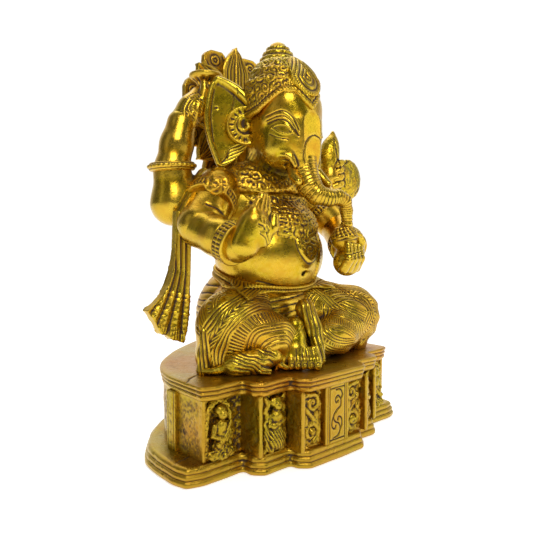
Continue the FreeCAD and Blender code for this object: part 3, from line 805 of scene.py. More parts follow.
def necklace_detail(p, n):
    turn, r, _ = around(p, (0, -14, 176), (0, -1, 0.15), (0, 0, -1))
    beads = sum(ridge(r - place, 1.4) * wave(turn * place, 3.0) for place in (20, 26, 36, 43))
    chain = ridges(r, (23, 29, 33, 39.5), 0.5)
    drift = 4.0 * noise(p, 7.0, 33)
    leaves = scrolls(turn * 30 + drift, r + drift, 6.4) * (1 - inside(r, 18, 28))
    rough = grain(p, 1.8, 8) + 0.6 * grain(p, 3.6, 9)
    height = 0.6 * beads + 0.4 * chain + 0.26 * leaves + 0.9 * rough
    return height - 0.4, 0.14 - 0.12 * beads - 0.08 * leaves - 0.1 * rough


def necklace_field():
    plate = egg((0, -3.5, 136), (30, 33, 22))
    chest = egg((0, 2.0, 151), (33, 24, 27))
    return union(plate, chest, k=3.0)


sculpt("torso", torso_field(), torso_detail, 0.62)
sculpt("dhoti_hips", HIPS, hips_detail, 0.8, floor=ON_SLAB)
sculpt("right_leg", RIGHT_LEG, right_leg_detail, 0.48, floor=ON_SLAB)
sculpt("left_leg", LEFT_LEG, left_leg_detail, 0.48, floor=ON_SLAB)
sculpt("right_foot", foot_field(), foot_detail, 0.35, floor=ON_SLAB)
sculpt("lap_pleats", pleats_field(), pleats_detail, 0.4, grow=2.0, floor=ON_SLAB)
sculpt("hem_fold", hem_field(), hem_detail, 0.4, floor=ON_SLAB)
sculpt("mouse", mouse_field(), mouse_detail, 0.38, floor=ON_SLAB)
sculpt("waist_belt", belt_field(), belt_detail, 0.5)
sculpt("shawl", shawl_field(), shawl_detail, 0.5)
sculpt("necklace", necklace_field(), necklace_detail, 0.5)


# ---------------------------------------------------------------- arms and hands


def skin_detail(p, n):
    soft = noise(p, 9.0, 12) - 0.5
    return 0.35 * soft, 0.06 * (noise(p, 5.0, 13) - 0.4)


def elbow_detail(p, n):
    """Skin folds where the right arm bends."""
    near = facing(n)
    fold = ridge(stroke(p, [(-36, -14, 158), (-44, -16, 152), (-48, -18, 146), (-54, -22, 141)]), 1.1)
    second = ridge(stroke(p, [(-60, -16, 150), (-52, -17, 147), (-48, -18, 142)]), 0.8)
    height, dark = skin_detail(p, n)
    return height + near * (0.9 * fold - 0.6 * second), dark + 0.25 * near * second


def fingers(roots, knuckles, tips, sizes):
    shapes = []
    for root, knuckle, tip, size in zip(roots, knuckles, tips, sizes):
        shapes.append(limb((*root, size), (*knuckle, size * 0.94), (*tip, size * 0.78), k=0.8))
    return union(*shapes, k=0.5)


def right_hand_field():
    palm = limb((-55.5, -44, 127, 8.6), (-51, -47, 139, 8.2), k=2.0)
    mound = egg((-46.5, -49.5, 132.5), (6.0, 4.6, 7.5))
    roots = [(-55.0 + 3.5 * i, -48.0, 139) for i in range(4)]
    knuckles = [(-52.6 + 3.0 * i, -49.5, 145.5 + 1.0 * (i in (1, 2))) for i in range(4)]
    tips = [(-49.0 + 2.2 * i, -49.0, 151.0 + 2.4 * (i in (1, 2))) for i in range(4)]
    thumb = limb((-45, -49, 133, 4.0), (-40.5, -51, 137, 3.4), (-39.5, -51.0, 142, 2.6), k=1.5)
    hand = union(palm, mound, k=3.0)
    return union(hand, fingers(roots, knuckles, tips, [2.7, 2.7, 2.7, 2.5]), thumb, k=1.6)


def right_hand_detail(p, n):
    creases = ridge(stroke(p, [(-53, -54, 138), (-49, -54, 136), (-45, -53, 129)]), 0.5)
    creases = creases + ridge(stroke(p, [(-52, -54, 133), (-48, -54, 130), (-47, -54, 124)]), 0.5)
    gap = length(p - vec((-49.5, -54, 137.5)))
    spin = np.arctan2(p[:, 2] - 137.5, p[:, 0] + 49.5)
    creases = creases + (0.5 + 0.5 * np.cos(5 * spin + gap)) * inside(gap, 1.2, 5.0) * np.clip(-n[:, 1], 0, 1)
    return -0.3 * creases + 0.25 * (noise(p, 5.0, 14) - 0.5), 0.14 * creases


def left_hand_field():
    palm = limb((32, -44, 119, 9.2), (23, -50, 115, 8.6), k=3.0)
    roots = [(13.8 + 5.1 * i, -55.5 + 1.0 * i, 111.5) for i in range(4)]
    knuckles = [(13.6 + 5.1 * i, -60.0 + 1.3 * i, 117.5) for i in range(4)]
    tips = [(14.0 + 5.0 * i, -58.5 + 1.2 * i, 126.0 - 0.5 * i) for i in range(4)]
    thumb = limb((33, -50, 121, 4.2), (31, -54, 128, 3.4), (28.5, -55, 132, 2.8), k=1.5)
    return union(palm, fingers(roots, knuckles, tips, [3.1, 3.2, 3.2, 3.0]), thumb, k=1.0)


def left_hand_detail(p, n):
    x, y, z = p.T
    joints = ridges(z - 0.1 * x, (116.6, 119.4), 0.5) * inside(-y, 54, 80)
    return -0.35 * joints, 0.25 * joints


def modak_field():
    cone = limb((20.5, -50, 134, 5.8), (20.5, -50, 139, 2.2), k=1.0)
    return union(ball((20.5, -50, 129.2), 8.3), cone, k=2.0)


def modak_detail(p, n):
    turn, _, h = around(p, (20.5, -50, 129.5), (0, 0.1, 1))
    cap = inside(h, 1.0, 30)
    pleats = wave(turn * 8 + h * 0.5, 3.1) * cap
    cross = wave(h - turn * 2.0, 2.2) * inside(h, -1.0, 6.0)
    rim = ridges(h, (0.6, 6.5), 0.6)
    return 0.5 * pleats + 0.35 * cross + 0.6 * rim - 0.3, 0.3 - 0.25 * pleats - 0.1 * rim


def right_back_hand_field():
    palm = limb((-52, 20, 202, 8.8), (-45.5, 19, 211, 8.7), (-39.5, 19, 219, 7.2), k=3.0)
    middle_finger = limb((-38, 14, 216, 3.2), (-36.5, 14, 223, 3.0), (-35, 15, 229, 2.4), k=1.0)
    others = union(limb((-33, 17, 215, 3.0), (-32, 17, 222, 2.6)),
                   limb((-43, 13, 213, 3.2), (-41, 12, 222, 2.8), (-40.5, 13, 227, 2.2)), k=1.0)
    return union(palm, middle_finger, others, k=1.2)


def right_back_hand_detail(p, n):
    near = facing(n)
    curl = stroke(p, [(-50, 12, 214), (-53, 12, 210), (-51, 12, 206.5), (-48, 12, 208), (-49.5, 12, 210.5)])
    leaf = stroke(p, [(-46, 12, 219), (-51, 12, 217), (-56, 12, 210), (-56, 12, 203)])
    stem = stroke(p, [(-44, 12, 214), (-47, 12, 204), (-50, 12, 197)])
    lines = (ridge(curl, 0.7) + ridge(leaf, 0.6) + ridge(stem, 0.6)) * near
    a, b = flat(p, VIEW)
    hatch = wave(b * 0.9 + a, 1.9) * inside(np.minimum(leaf, stem), 0.8, 2.4) * near
    return 0.5 * lines - 0.25 * hatch, 0.25 * (1 - lines) * near * inside(leaf, -1, 4) + 0.15 * hatch


GOAD = (-35, 19)


def goad_field():
    profile = [(5.2, 216), (4.2, 220), (3.8, 226), (5.4, 229.5), (9.8, 232.0), (10.2, 233.4), (9.8, 234.2)]
    return turned(profile, *GOAD)


def goad_detail(p, n):
    turn, _, h = around(p, (*GOAD, 0), (0, 0, 1))
    star = wave(turn * 4, 2.1) * inside(h, 226.5, 231.5)
    rings = ridges(h, (225.5, 219.5), 0.8)
    return 0.5 * star + 0.5 * rings, 0.25 * inside(h, 216, 231)


def axe_field():
    bud = cord((73, 9, 170, 6.2), (71.5, 10, 181, 7.2), (71.5, 10, 190, 8.0), (73.8, 10, 199, 6.4),
               (75.8, 10, 205, 3.3), (76.4, 10, 210, 0.9), k=1.0)
    blade = egg((89.5, 6, 174.5), (14.6, 4.2, 15.6))
    neck = limb((74, 8, 182, 5.5), (84, 7, 178, 6.0))
    grip = union(*[cord((69 + 1.2 * i, 2.6, 168 + 5.2 * i, 2.3), (75, 0.8, 170 + 5.2 * i, 2.6),
                        (80, 3.5, 171.5 + 5.2 * i, 2.0)) for i in range(4)], k=0.4)
    return union(union(bud, blade, neck, k=1.6), grip, k=0.8)


def axe_detail(p, n):
    near = facing(n)
    curl = stroke(p, [(82, 0, 196), (79, 0, 193), (79, 0, 188), (82, 0, 187), (83, 0, 190), (81, 0, 191)])
    edge = stroke(p, [(68, 0, 204), (71, 0, 190), (74, 0, 182)])
    rim = stroke(p, [(94, 0, 190), (101, 0, 182), (102, 0, 172), (95, 0, 163)])
    lines = (ridge(curl, 0.7) + ridge(edge, 0.6) + ridge(rim - 1.5, 0.5)) * near
    rough = grain(p, 1.8, 17)
    return 0.45 * rough - 0.6 * lines, 0.2 + 0.4 * lines - 0.1 * rough


BRACELET_TALL, ARMBAND_TALL = 4.6, 3.8      # half heights


def band_field(centre, axis, major, tall, thick):
    """Flat hoop with rounded edges."""
    def field(p):
        _, r, h = around(p, centre, axis)
        return rounded(np.abs(r - major) - thick, np.abs(h) - tall, 0.8)
    return field


def band_detail(centre, axis, major, tall):
    """Raised rims with a comb-hatched band between them."""
    def detail(p, n):
        turn, _, h = around(p, centre, axis)
        rims = ridges(h, (-tall + 0.8, tall - 0.8), 0.75)
        comb = wave(turn * major, 2.2) * inside(np.abs(h), -1, tall - 1.6)
        centre_line = ridge(h, 0.45)
        return 0.6 * rims + 0.5 * comb + 0.35 * centre_line - 0.3, 0.32 - 0.3 * rims - 0.25 * comb
    return detail


def rope_detail(centre, axis, major):
    """Plain bangle with a beaded crest."""
    def detail(p, n):
        turn, _, h = around(p, centre, axis)
        beads = wave(turn * major, 2.6) * ridge(h - 0.4, 1.0)
        grooves = ridges(h, (-1.5, 1.7), 0.4)
        return 0.5 * beads - 0.4 * grooves, 0.3 * grooves + 0.1 * (1 - beads) * ridge(h - 0.4, 1.0)
    return detail


def armband_field(centre, axis, major, drop):
    lotus = egg(drop, (7.5, 2.4, 6.2), axes_from((drop[0] * 0.02, -1.0, 0.35)))
    return union(band_field(centre, axis, major, ARMBAND_TALL, 1.5), lotus, k=1.0)


def armband_detail(centre, axis, major, drop):
    plain = band_detail(centre, axis, major, ARMBAND_TALL)

    def detail(p, n):
        height, dark = plain(p, n)
        gap = length(p - vec(drop))
        spin = np.arctan2(p[:, 2] - drop[2], p[:, 0] - drop[0])
        petals = inside(gap, -1, 8.2, 0.8)
        flower = 0.35 * np.cos(7 * spin + gap) * inside(gap, 2.5, 8) + 0.4 * np.cos(gap * 1.9)
        flower = flower + 0.6 * grain(p, 1.5, 15)
        height = height * (1 - petals) + petals * 0.5 * flower
        return height, dark * (1 - petals) + petals * (0.08 - 0.12 * flower)
    return detail


# Field, chasing, voxel and growth of each arm, hand and what it holds.
ARMS = {
    "right_front_upper_arm": (limb((-38, 2, 160, 14), (-60, -8, 138, 12.5)), elbow_detail, 0.5),
    "right_front_forearm": (limb((-60, -8, 137, 12), (-58, -25, 131, 11), (-56, -40, 126, 9.0), k=3.0),
                            skin_detail, 0.6),
    "right_front_hand": (right_hand_field(), right_hand_detail, 0.36, 2.5),
    "left_front_upper_arm": (limb((38, 2, 160, 14), (58, -8, 140, 12)), skin_detail, 0.6),
    "left_front_forearm": (limb((58, -9, 139, 11.5), (38, -40, 121, 9.8), k=3.0), skin_detail, 0.6),
    "left_front_hand": (left_hand_field(), left_hand_detail, 0.36, 2.5),
    "modak": (modak_field(), modak_detail, 0.36),
    "right_back_arm": (limb((-36, 14, 158, 14), (-59, 20, 152, 13.5), (-60, 20, 172, 10.6),
                            (-56.5, 20, 188, 9.8), (-53, 20, 201, 9.0), k=4.0), skin_detail, 0.6),
    "left_back_arm": (limb((36, 14, 158, 14), (57, 20, 150, 13), (67, 14, 164, 10), k=4.0), skin_detail, 0.6),
    "right_back_hand": (right_back_hand_field(), right_back_hand_detail, 0.4, 3.0),
    "left_back_hand": (limb((68, 13, 166, 9), (72, 9, 176, 8), (71, 9, 185, 6), k=3.0), skin_detail, 0.5),
    "goad": (goad_field(), goad_detail, 0.4),
    "axe": (axe_field(), axe_detail, 0.42, 3.0)}
# Centre, axis and radius of each ring, and the middle of each armband's lotus.
BRACELETS = {"right_bracelet": ((-56.5, -35, 128), (4, -32, -11), 10.5),
             "left_bracelet": ((41, -35, 125), (-20, -31, -17), 10.6)}
BANGLES = {"right_back_bangle": ((-60, 20, 174), (-1, 0, 18), 12.6),
           "left_back_bangle": ((66, 15, 166), (10, -6, 18), 12.6)}
ARMBANDS = {"right_armband": ((-46, -2, 153), (-22, -10, -22), 13.9, (-50, -13.0, 161.5)),
            "left_armband": ((46, -2, 153), (20, -10, -20), 13.6, (50, -14.0, 159.5))}

for name, casting in ARMS.items():
    sculpt(name, *casting)
for name, (centre, axis, major) in BRACELETS.items():
    sculpt(name, band_field(centre, axis, major, BRACELET_TALL, 1.6),
           band_detail(centre, axis, major, BRACELET_TALL), 0.36, 4.0)
for name, (centre, axis, major) in BANGLES.items():
    sculpt(name, ring(centre, axis, major, 2.2, 2.6), rope_detail(centre, axis, major), 0.36)
for name, place in ARMBANDS.items():
    sculpt(name, armband_field(*place), armband_detail(*place), 0.4, 5.0)


# ---------------------------------------------------------------- head

TRUNK = [(-2, -34.5, 184, 9.8), (-2.5, -37.2, 171, 8.2), (-2.4, -41.5, 162, 7.3), (0, -46, 156, 6.1),
         (6, -49.5, 154.3, 5.1), (13, -51, 155, 4.6), (18, -52, 153, 4.1), (21, -51, 147, 3.7),
         (22, -51, 139, 3.2)]
HEAD_X = -2.5
MOUTH = (-13.5, -35.0, 173.2)


def twin(field):
    return both(field, HEAD_X)


def head_field():
    skull = egg((HEAD_X, -17, 199), (21, 25.5, 26))
    root = limb((HEAD_X, -25, 205, 17), (HEAD_X, -30.5, 196, 13.8), (-2.3, -33.5, 188, 11.5),
                (-2, -35.2, 181, 10.3), (-2.5, -36.5, 175, 9.2), k=3.0)
    domes = twin(egg((-10, -27.5, 211), (11, 12.5, 12)))
    cheeks = twin(limb((-7, -22, 186, 12.5), (-12, -25, 185, 12.0)))
    neck = limb((0, -6, 186, 17), (0, -2, 172, 17))
    brow = twin(cord((-10.5, -36.5, 196, 2.0), (-13.5, -34.0, 200.5, 2.4), (-17.4, -30.4, 202.5, 2.2),
                     (-21.0, -23.5, 201, 1.8)))
    face = union(union(skull, cheeks, neck, k=5.0), domes, k=6.0)
    face = union(union(face, root, k=8.0), brow, k=4.0)
    eye = twin(egg((-15.9, -31.9, 194.2), (4.8, 3.2, 3.0), axes_from((-0.75, -0.66, 0))))
    tusk_fold = twin(union(*[cord((-20.5 + 1.5 * i, -25.5 - i, 179.0 - 1.2 * i, 1.7),
                                  (-18.6 + 0.6 * i, -31.0 - i, 184 - 2.2 * i, 2.0),
                                  (-15.0 + 0.3 * i, -35.5 - i, 183.5 - 2.6 * i, 2.0),
                                  (-12.4, -38.2 - 0.6 * i, 176.5 - 1.6 * i, 1.6)) for i in range(3)], k=0.5))
    face = union(union(face, eye, k=0.8), tusk_fold, k=1.0)
    return cut(face, twin(egg(MOUTH, (3.6, 4.0, 2.2))), 1.0)


LIDS = ([(-21.4, -28.5, 195.6), (-19, -32, 197.2), (-15.5, -35.5, 196.4), (-12.6, -37.8, 192.2)],
        [(-21.4, -28.5, 195.6), (-18.5, -32.5, 192.4), (-15.5, -35.5, 191.4), (-12.6, -37.8, 192.2)])
BROWS = ([(-9.2, -39.5, 193.5), (-12.5, -37.5, 201), (-17.4, -33.2, 205.0), (-22.3, -24.8, 202.5)],
         [(-10.2, -39.5, 191.5), (-13.4, -37.5, 198.4), (-17.8, -33.2, 202.2), (-22.3, -25.5, 200.0)])
OVER_EYE = [(-22.3, -26.5, 198.4), (-19, -32, 200.0), (-15.0, -35.5, 198.6), (-9.6, -39.5, 190.5)]
UNDER_EYE = [(-21.5, -27, 192), (-18.5, -32, 189.4), (-14.5, -35.3, 188.4)]
CHEEK_DROP = ([(29.5, 192.0), (26.0, 190.5), (23.0, 186), (22.0, 180.5), (22.8, 176), (24.6, 172.5)],
              [(29.5, 192.0), (33.0, 190.0), (35.6, 185), (36.0, 179), (34.0, 174)])


def head_detail(p, n):
    x, y, z = p.T
    q = folded(p, HEAD_X)
    inwards = np.where(x > HEAD_X, -1, 1)
    near = facing(np.column_stack([inwards * n[:, 0], n[:, 1], n[:, 2]]))
    raised = sum(ridge(stroke(q, line), 0.5) for line in LIDS)
    cutting = sum(ridge(stroke(q, line), 0.42) for line in BROWS)
    cutting = cutting + 0.8 * ridge(stroke(q, UNDER_EYE), 0.4) + 1.3 * ridge(stroke(q, OVER_EYE), 0.55)
    pupil = length(q - vec((-17.6, -34.0, 194.2)))
    cutting = (cutting + 0.6 * ridge(pupil - 1.3, 0.3)) * near
    across, up = flat(p, VIEW)
    for line in CHEEK_DROP:
        cutting = cutting + 0.9 * ridge(line_gap(across, up, smooth_line(line)), 0.45) * facing(n)
    hair = inside(z, 166, 186, 3.0) * wave(z + 0.5 * y, 3.0) * inside(y, -26, 30, 3.0)
    # Painted shade under the jaw and down the throat; patina and painted shade in the mouth.
    throat_shade = 0.3 * inside(z, 150, 177, 4.0)
    gape = length((q - vec(MOUTH)) / vec((4.6, 5.0, 3.0)))
    shade = 0.42 * cutting + 0.08 * hair + throat_shade + 0.25 * np.clip(1.3 - gape, 0, 1)
    return 0.45 * raised * near - 0.55 * cutting - 0.12 * hair, shade


def trunk_detail(p, n):
    line = smooth_line([row[:3] for row in TRUNK], 8)
    steps = np.concatenate([[0], np.cumsum(np.linalg.norm(np.diff(line, axis=0), axis=1))])
    best = np.full(len(p), 1e9)
    along = np.zeros(len(p))
    for a, b, start, end in zip(line[:-1], line[1:], steps[:-1], steps[1:]):
        span = vec(b - a)
        t = np.clip((p - vec(a)) @ span / (span @ span), 0, 1)
        gap = length(p - vec(a) - t[:, None] * span)
        closer = gap < best
        best = np.where(closer, gap, best)
        along = np.where(closer, start + t * (end - start), along)
    rings = wave(along, np.where(along < 27, 2.25, 1.75)) ** 14
    rings = rings * inside(along, 8.0, 66, 1.0)
    tip = ridges(along, (66.5, 63.5), 0.6)
    return 0.05 - 0.42 * rings + 0.3 * tip, 0.7 * rings


def ear_bend(x, z):
    """How far back the ear's plate lies."""
    return -3.7 - 0.55 * (x + 14) - 0.010 * (x + 28) ** 2 - 0.0016 * (z - 203) ** 2


EAR = [(-13, 213), (-18, 217), (-22.4, 221), (-28, 226), (-33, 229.5), (-36.4, 229.5), (-39, 225.5),
       (-40.8, 217), (-42.3, 208), (-41.8, 199), (-40.2, 191), (-37.6, 183), (-34.5, 174.5), (-31, 175.5),
       (-27, 178.5), (-21, 184.5), (-16, 193), (-13, 203)]


def ear_field():
    plate = sheet(EAR, 1.6, ear_bend)
    top = cord(*[(x, ear_bend(x, z) - 1.4 - lift, z, r) for x, z, r, lift in
                 ((-17, 203, 2.0, 6.5), (-19.5, 209, 2.4, 6.0), (-20.5, 215, 2.8, 4.0), (-24, 221, 3.0, 1.5),
                  (-29, 225.6, 2.7, 0), (-35.5, 228.5, 2.0, 0))])
    outer = cord(*[(x, ear_bend(x, z) - 0.6, z, 1.5) for x, z in
                   ((-36.5, 228), (-39, 223), (-40.8, 215), (-41.8, 206), (-41.0, 197), (-38.6, 187),
                    (-35.2, 176.5))])
    return union(plate, top, outer, k=1.6)


def ear_detail(p, n):
    q = folded(p)
    lines = 0
    for shift in (0.0, 2.0, 4.0, 6.0):
        lines = lines + ridge(stroke(q, [(-35 + shift * 0.7, 0, 177 + shift * 0.5), (-29, 0, 179.5 + shift),
                                         (-22, 0, 183.5 + shift), (-17, 0, 189 + shift)], FRONT), 0.45)
    crack = ridge(stroke(q, [(-27, 0, 223), (-26.5, 0, 216), (-27.5, 0, 210)], FRONT), 0.3)
    nick = ridge(length((q - vec((-36.5, 3.5, 211))) * vec((1, 0.3, 1.4))), 1.1)
    veins = ridge(stroke(q, [(-38, 0, 222), (-39.5, 0, 207), (-38.5, 0, 190)], FRONT), 0.5)
    cutting = (lines + crack + 0.6 * veins) * np.clip(-n[:, 1] * 4, 0, 1)
    soft = noise(p, 8.0, 21) - 0.5
    return 0.3 * soft - 0.4 * cutting - 0.9 * nick, 0.28 * cutting + 0.8 * nick - 0.06


FLOWER_AXIS = (-0.48, -0.88, 0)


def flower_field():
    boss = egg((-20.8, -8.2, 201), (4.6, 3.4, 4.6))
    return both(union(disc((-22.7, -5.6, 200), FLOWER_AXIS, 11.6, 1.8), boss, k=2.0))


def flower_detail(p, n):
    q = folded(p)
    turn, r, _ = around(q, (-22.5, -5, 200), FLOWER_AXIS)
    rims = ridges(r, (11.2, 6.2), 0.6)
    pits = wave(turn * 8.8, 3.4) ** 2 * ridge(r - 8.7, 1.0)
    curl = inside(r, -1, 6.0) * np.cos(turn + r * 1.2)
    return 0.6 * rims - 0.7 * pits + 0.6 * curl + 0.4 * grain(p, 2.0, 5), 0.08 + 0.45 * pits - 0.15 * rims


def crown_detail(p, n):
    x, y, z = p.T
    turn = np.arctan2(x - HEAD_X, -14 - y)
    drift = 5.0 * noise(p, 7.0, 31)
    leaves = scrolls(turn * 24 + drift, z - 213 + drift, 6.0)
    ledges = ridges(z, (225.5, 232.5), 0.9)
    rough = grain(p, 1.7, 7) + 0.5 * grain(p, 3.2, 8)
    return 0.28 * leaves + 0.6 * ledges + 0.75 * rough, 0.03 - 0.06 * leaves - 0.12 * rough


BROW_CENTRE = (HEAD_X, -18, 206)
BROW_RADII = (22.0, 24.6, 27)
BAND_TURN = np.radians((0, 10, 22, 38, 56, 75, 95, 180))
BAND_HEIGHT = (208.5, 212.5, 218.5, 218.5, 213, 207.5, 205.5, 206)


def band_height(p):
    """Height of the crown's lower edge, which dips to a point between the brows."""
    turn = np.abs(np.arctan2(p[:, 0] - HEAD_X, -(p[:, 1] + 15)))
    return np.interp(turn, BAND_TURN, BAND_HEIGHT)


def crown_field():
    profile = [(20.5, 212), (22.6, 218.4), (21.8, 225.2), (18.8, 231.9), (15.0, 237.3), (11.5, 240)]
    cap = union(turned(profile, HEAD_X, -16), egg(BROW_CENTRE, BROW_RADII), k=3.0)
    return common(cap, lambda p: (band_height(p) - 1.0 - p[:, 2]) * 0.7, 1.0)


def crown_band_field():
    def field(p):
        rise = p[:, 2] - band_height(p)
        shell = length((p - vec(BROW_CENTRE)) / vec(BROW_RADII)) - 1
        skin = shell * 25
        lower = np.hypot(skin - 0.6, rise * 0.75) - 1.9
        upper = np.hypot(skin - 0.4, (rise - 4.2) * 0.75) - 1.5
        return smooth_min(lower, upper, 0.6)
    return field


def crown_band_detail(p, n):
    x, y, z = p.T
    turn = np.arctan2(x - HEAD_X, -(y + 15))
    rise = z - band_height(p)
    beads = wave(turn * 26, 2.3) * ridge(rise - 4.2, 1.6)
    comb = wave(turn * 26 + 0.6 * rise, 1.9) * ridge(rise, 1.5)
    return 0.45 * beads + 0.35 * comb - 0.2, 0.22 - 0.2 * (beads + comb)


FINIAL = (-1, -12)


def finial_field():
    return turned([(12.0, 238.5), (10.6, 242), (8.6, 245.8), (6.6, 249), (4.2, 252), (1.0, 253.6)], *FINIAL)


def finial_detail(p, n):
    turn, _, h = around(p, (*FINIAL, 0), (0, 0, 1))
    rings = wave(h - 239, 3.6)
    beads = wave(turn * 8 + np.floor((h - 240) / 3.4) * 1.5, 2.8)
    top = inside(h, 249.5, 260)
    height = (0.55 * rings + 0.35 * beads * rings) * (1 - top) + 0.2 * grain(p, 1.5, 4)
    return height, 0.22 * (1 - rings) * (1 - top)


PLAQUE = (-1.5, -35.3, 227.3)
MEDALLION_AXES = axes_from((0, -math.cos(math.radians(30)), math.sin(math.radians(30))))


def medallion_field():
    """Leaf-shaped plaque: round below, drawn to a point above."""
    centre = vec(PLAQUE)

    def field(p):
        q = (p - centre) @ MEDALLION_AXES.T
        a, b = np.abs(q[:, 0]), q[:, 2]
        leaf = np.hypot(a / 11.8, np.where(b < 0, b / 14.5, 0)) + np.clip(b / 19.0, 0, 9) ** 1.6 - 1
        return np.maximum(leaf * 9.0, np.abs(q[:, 1]) - 3.4 + 0.012 * (a * a + b * b))
    return field


def medallion_detail(p, n):
    q = (p - vec(PLAQUE)) @ MEDALLION_AXES.T
    a, b = np.abs(q[:, 0]), q[:, 2] + 2.5
    oval = np.hypot(a, np.where(b < 0, b * 0.85, 0)) + np.clip(b, 0, 99) * 0.62
    rings = wave(oval, 3.0)
    eye = inside(oval, -1, 4.2) * np.cos(np.arctan2(b, q[:, 0]) + oval * 1.4)
    comb = wave(np.arctan2(b, q[:, 0]) * 15, 2.4) * inside(oval, 8.9, 11.8)
    front = np.clip(q[:, 1], 0, 1)
    return front * (0.55 * rings + 0.3 * eye + 0.3 * comb - 0.3), front * 0.2 * (1 - rings)


sculpt("head", head_field(), head_detail, 0.45)
sculpt("trunk", common(limb(*TRUNK, k=2.0), lambda p: p[:, 2] - 179.5, 0.3), trunk_detail, 0.36)
sculpt("tusks", both(limb((-9, -33, 174, 4.0), (-12.5, -39, 167, 3.0), (-13, -43, 163.5, 2.5))),
       skin_detail, 0.36, 2.0)
sculpt("right_ear", ear_field(), ear_detail, 0.45, grow=5.0)
sculpt("left_ear", mirror(ear_field()), ear_detail, 0.45, grow=5.0)
sculpt("ear_flowers", flower_field(), flower_detail, 0.36, grow=4.0)
sculpt("crown", crown_field(), crown_detail, 0.45, grow=6.0)
sculpt("crown_band", crown_band_field(), crown_band_detail, 0.4, grow=4.0)
sculpt("crown_finial", finial_field(), finial_detail, 0.36)
sculpt("crown_medallion", medallion_field(), medallion_detail, 0.36, grow=4.0)


# ---------------------------------------------------------------- halo and scarf

HALO_Z = 214.0
SECTOR = 2 * math.pi / 8
PETAL_WIDE, PETAL_TALL = 42.0, 48.0


def petal_frame(p, first):
    """Across and along the nearest petal, with every petal drawn as long as the tallest."""
    x, z = p[:, 0], p[:, 2] - HALO_Z
    angle = np.arctan2(x, z) - first
    local = (angle + SECTOR / 2) % SECTOR - SECTOR / 2
    turn = angle - local + first
    tip = 1.0 / np.hypot(np.sin(turn) / PETAL_WIDE, np.cos(turn) / PETAL_TALL)
    r = np.hypot(x, z)
    return r * np.sin(local), r * np.cos(local) * (PETAL_TALL / tip)


def petals(first, half_outline, y, half):
    outline = half_outline + [(-a, b) for a, b in half_outline[::-1]]

    def field(p):
        u, v = petal_frame(p, first)
        return rounded(outline_gap(u, v, outline) * 0.9, np.abs(p[:, 1] - y) - half, 0.6)
    return field


# Half outlines of the petals, as (across, along).
POINTED = [(0.01, 48), (1.8, 46.2), (4.4, 43.6), (7.2, 40.2), (9.8, 36), (11.3, 31.5), (11.0, 26), (8, 17),
           (0.01, 17)]
BLUNT = [(0.01, 48.4), (4.4, 48.0), (7.2, 46.6), (9.0, 43.0), (10.0, 37), (9.6, 28), (7, 17), (0.01, 17)]


def pointed_detail(p, n):
    u, v = petal_frame(p, 0.0)
    size = np.abs(u)
    edge = 10.3 * np.clip((PETAL_TALL - v) / 16.5, 0, 1) ** 0.75
    ribs = wave(size / np.maximum(edge, 1.0) * 9.0, 2.6) * inside(edge - size, 1.2, 30)
    spine = ridge(u, 0.8)
    rim = ridge(size - edge, 1.0)
    face = square_on(n[:, 1])
    return face * (0.45 * ribs + 1.0 * spine + 0.7 * rim - 0.5), face * (0.22 * (1 - ribs) - 0.2 * rim)


def blunt_detail(p, n):
    u, v = petal_frame(p, SECTOR / 2)
    loop = np.hypot(u, v - 41)
    rings = ridges(loop, (0.0, 2.6), 0.6)
    rim = ridge(np.abs(u) - 8.4, 0.7) * inside(v, 20, 43)
    lines = wave(u, 2.6) * inside(v, 10, 33)
    face = square_on(n[:, 1])
    return face * (0.8 * rings + 0.8 * rim + 0.5 * lines - 0.3), face * (0.25 - 0.3 * rim - 0.2 * rings)


def halo_disc_detail(p, n):
    turn, r, _ = around(p, (0, 38, HALO_Z), (0, 1, 0))
    rays = wave(turn * 22, 3.6) * inside(r, 8, 31)
    rings = ridges(r, (7, 18, 28.5), 0.9)
    return 0.5 * rays + 0.6 * rings - 0.3, 0.25 * (1 - rays)


def rivets_field():
    rivets = [union(limb((0, 23, z, 1.8), (0, 44, z, 1.8)), egg((0, 44.3, z), (3.4, 1.9, 3.4)))
              for z in (190.0, 197.0)]
    return union(*rivets)


def plain_detail(p, n):
    return 0.3 * (noise(p, 4.0, 31) - 0.5), 0.1 * noise(p, 3.0, 32)


TAIL = [(-71, 146), (-60, 143), (-61, 126), (-61.5, 110), (-63, 90), (-64.5, 78), (-67, 68.5),
        (-71, 70.5), (-75, 71.5), (-78.5, 74.5), (-82, 75.5), (-86, 83.5), (-90, 89.5), (-85, 93.5),
        (-80.5, 98), (-77, 103.5), (-74, 111), (-72, 125)]


def tail_detail(p, n):
    x, z = p[:, 0], p[:, 2]
    spread_out = np.clip((112 - z) / 40, 0, 1)
    run = (x + 62.5 + 0.02 * (146 - z)) / (10.5 + 19.0 * spread_out ** 1.3)
    flutes = np.cos(run * 2 * math.pi * 3.0 + 0.4) * (1 - 0.6 * spread_out)
    creases = ridges((run * 3.0 + 0.06) % 1.0, (0.5,), 0.09)
    knots = ridges(z + 0.25 * x, (77.0, 80.0, 69.0), 0.6) * inside(z, 60, 104, 3.0)
    tip = inside(z + 0.3 * x, 40, 58, 2.0)
    fringe = wave(run * 40 + 0.2 * z, 2.6) * tip
    face = np.clip(np.abs(n[:, 1]) * 3 - 1.0, 0, 1)
    ripple = 0.15 * wave(z + 3 * noise(p, 6.0, 3), 3.0) * inside(z, 60, 100, 6.0)
    height = 0.8 * flutes - 0.5 * creases + 0.4 * knots + 0.3 * fringe + ripple
    return face * height, face * (0.45 * creases + 0.2 * (1 - fringe) * tip)


def strip_detail(p, n):
    q = folded(p)
    run = q[:, 0] * 0.5 + q[:, 1] * 0.8 - 0.3 * q[:, 2]
    return 0.5 * wave(run, 2.6) - 0.2, 0.3 * (1 - wave(run, 2.6))


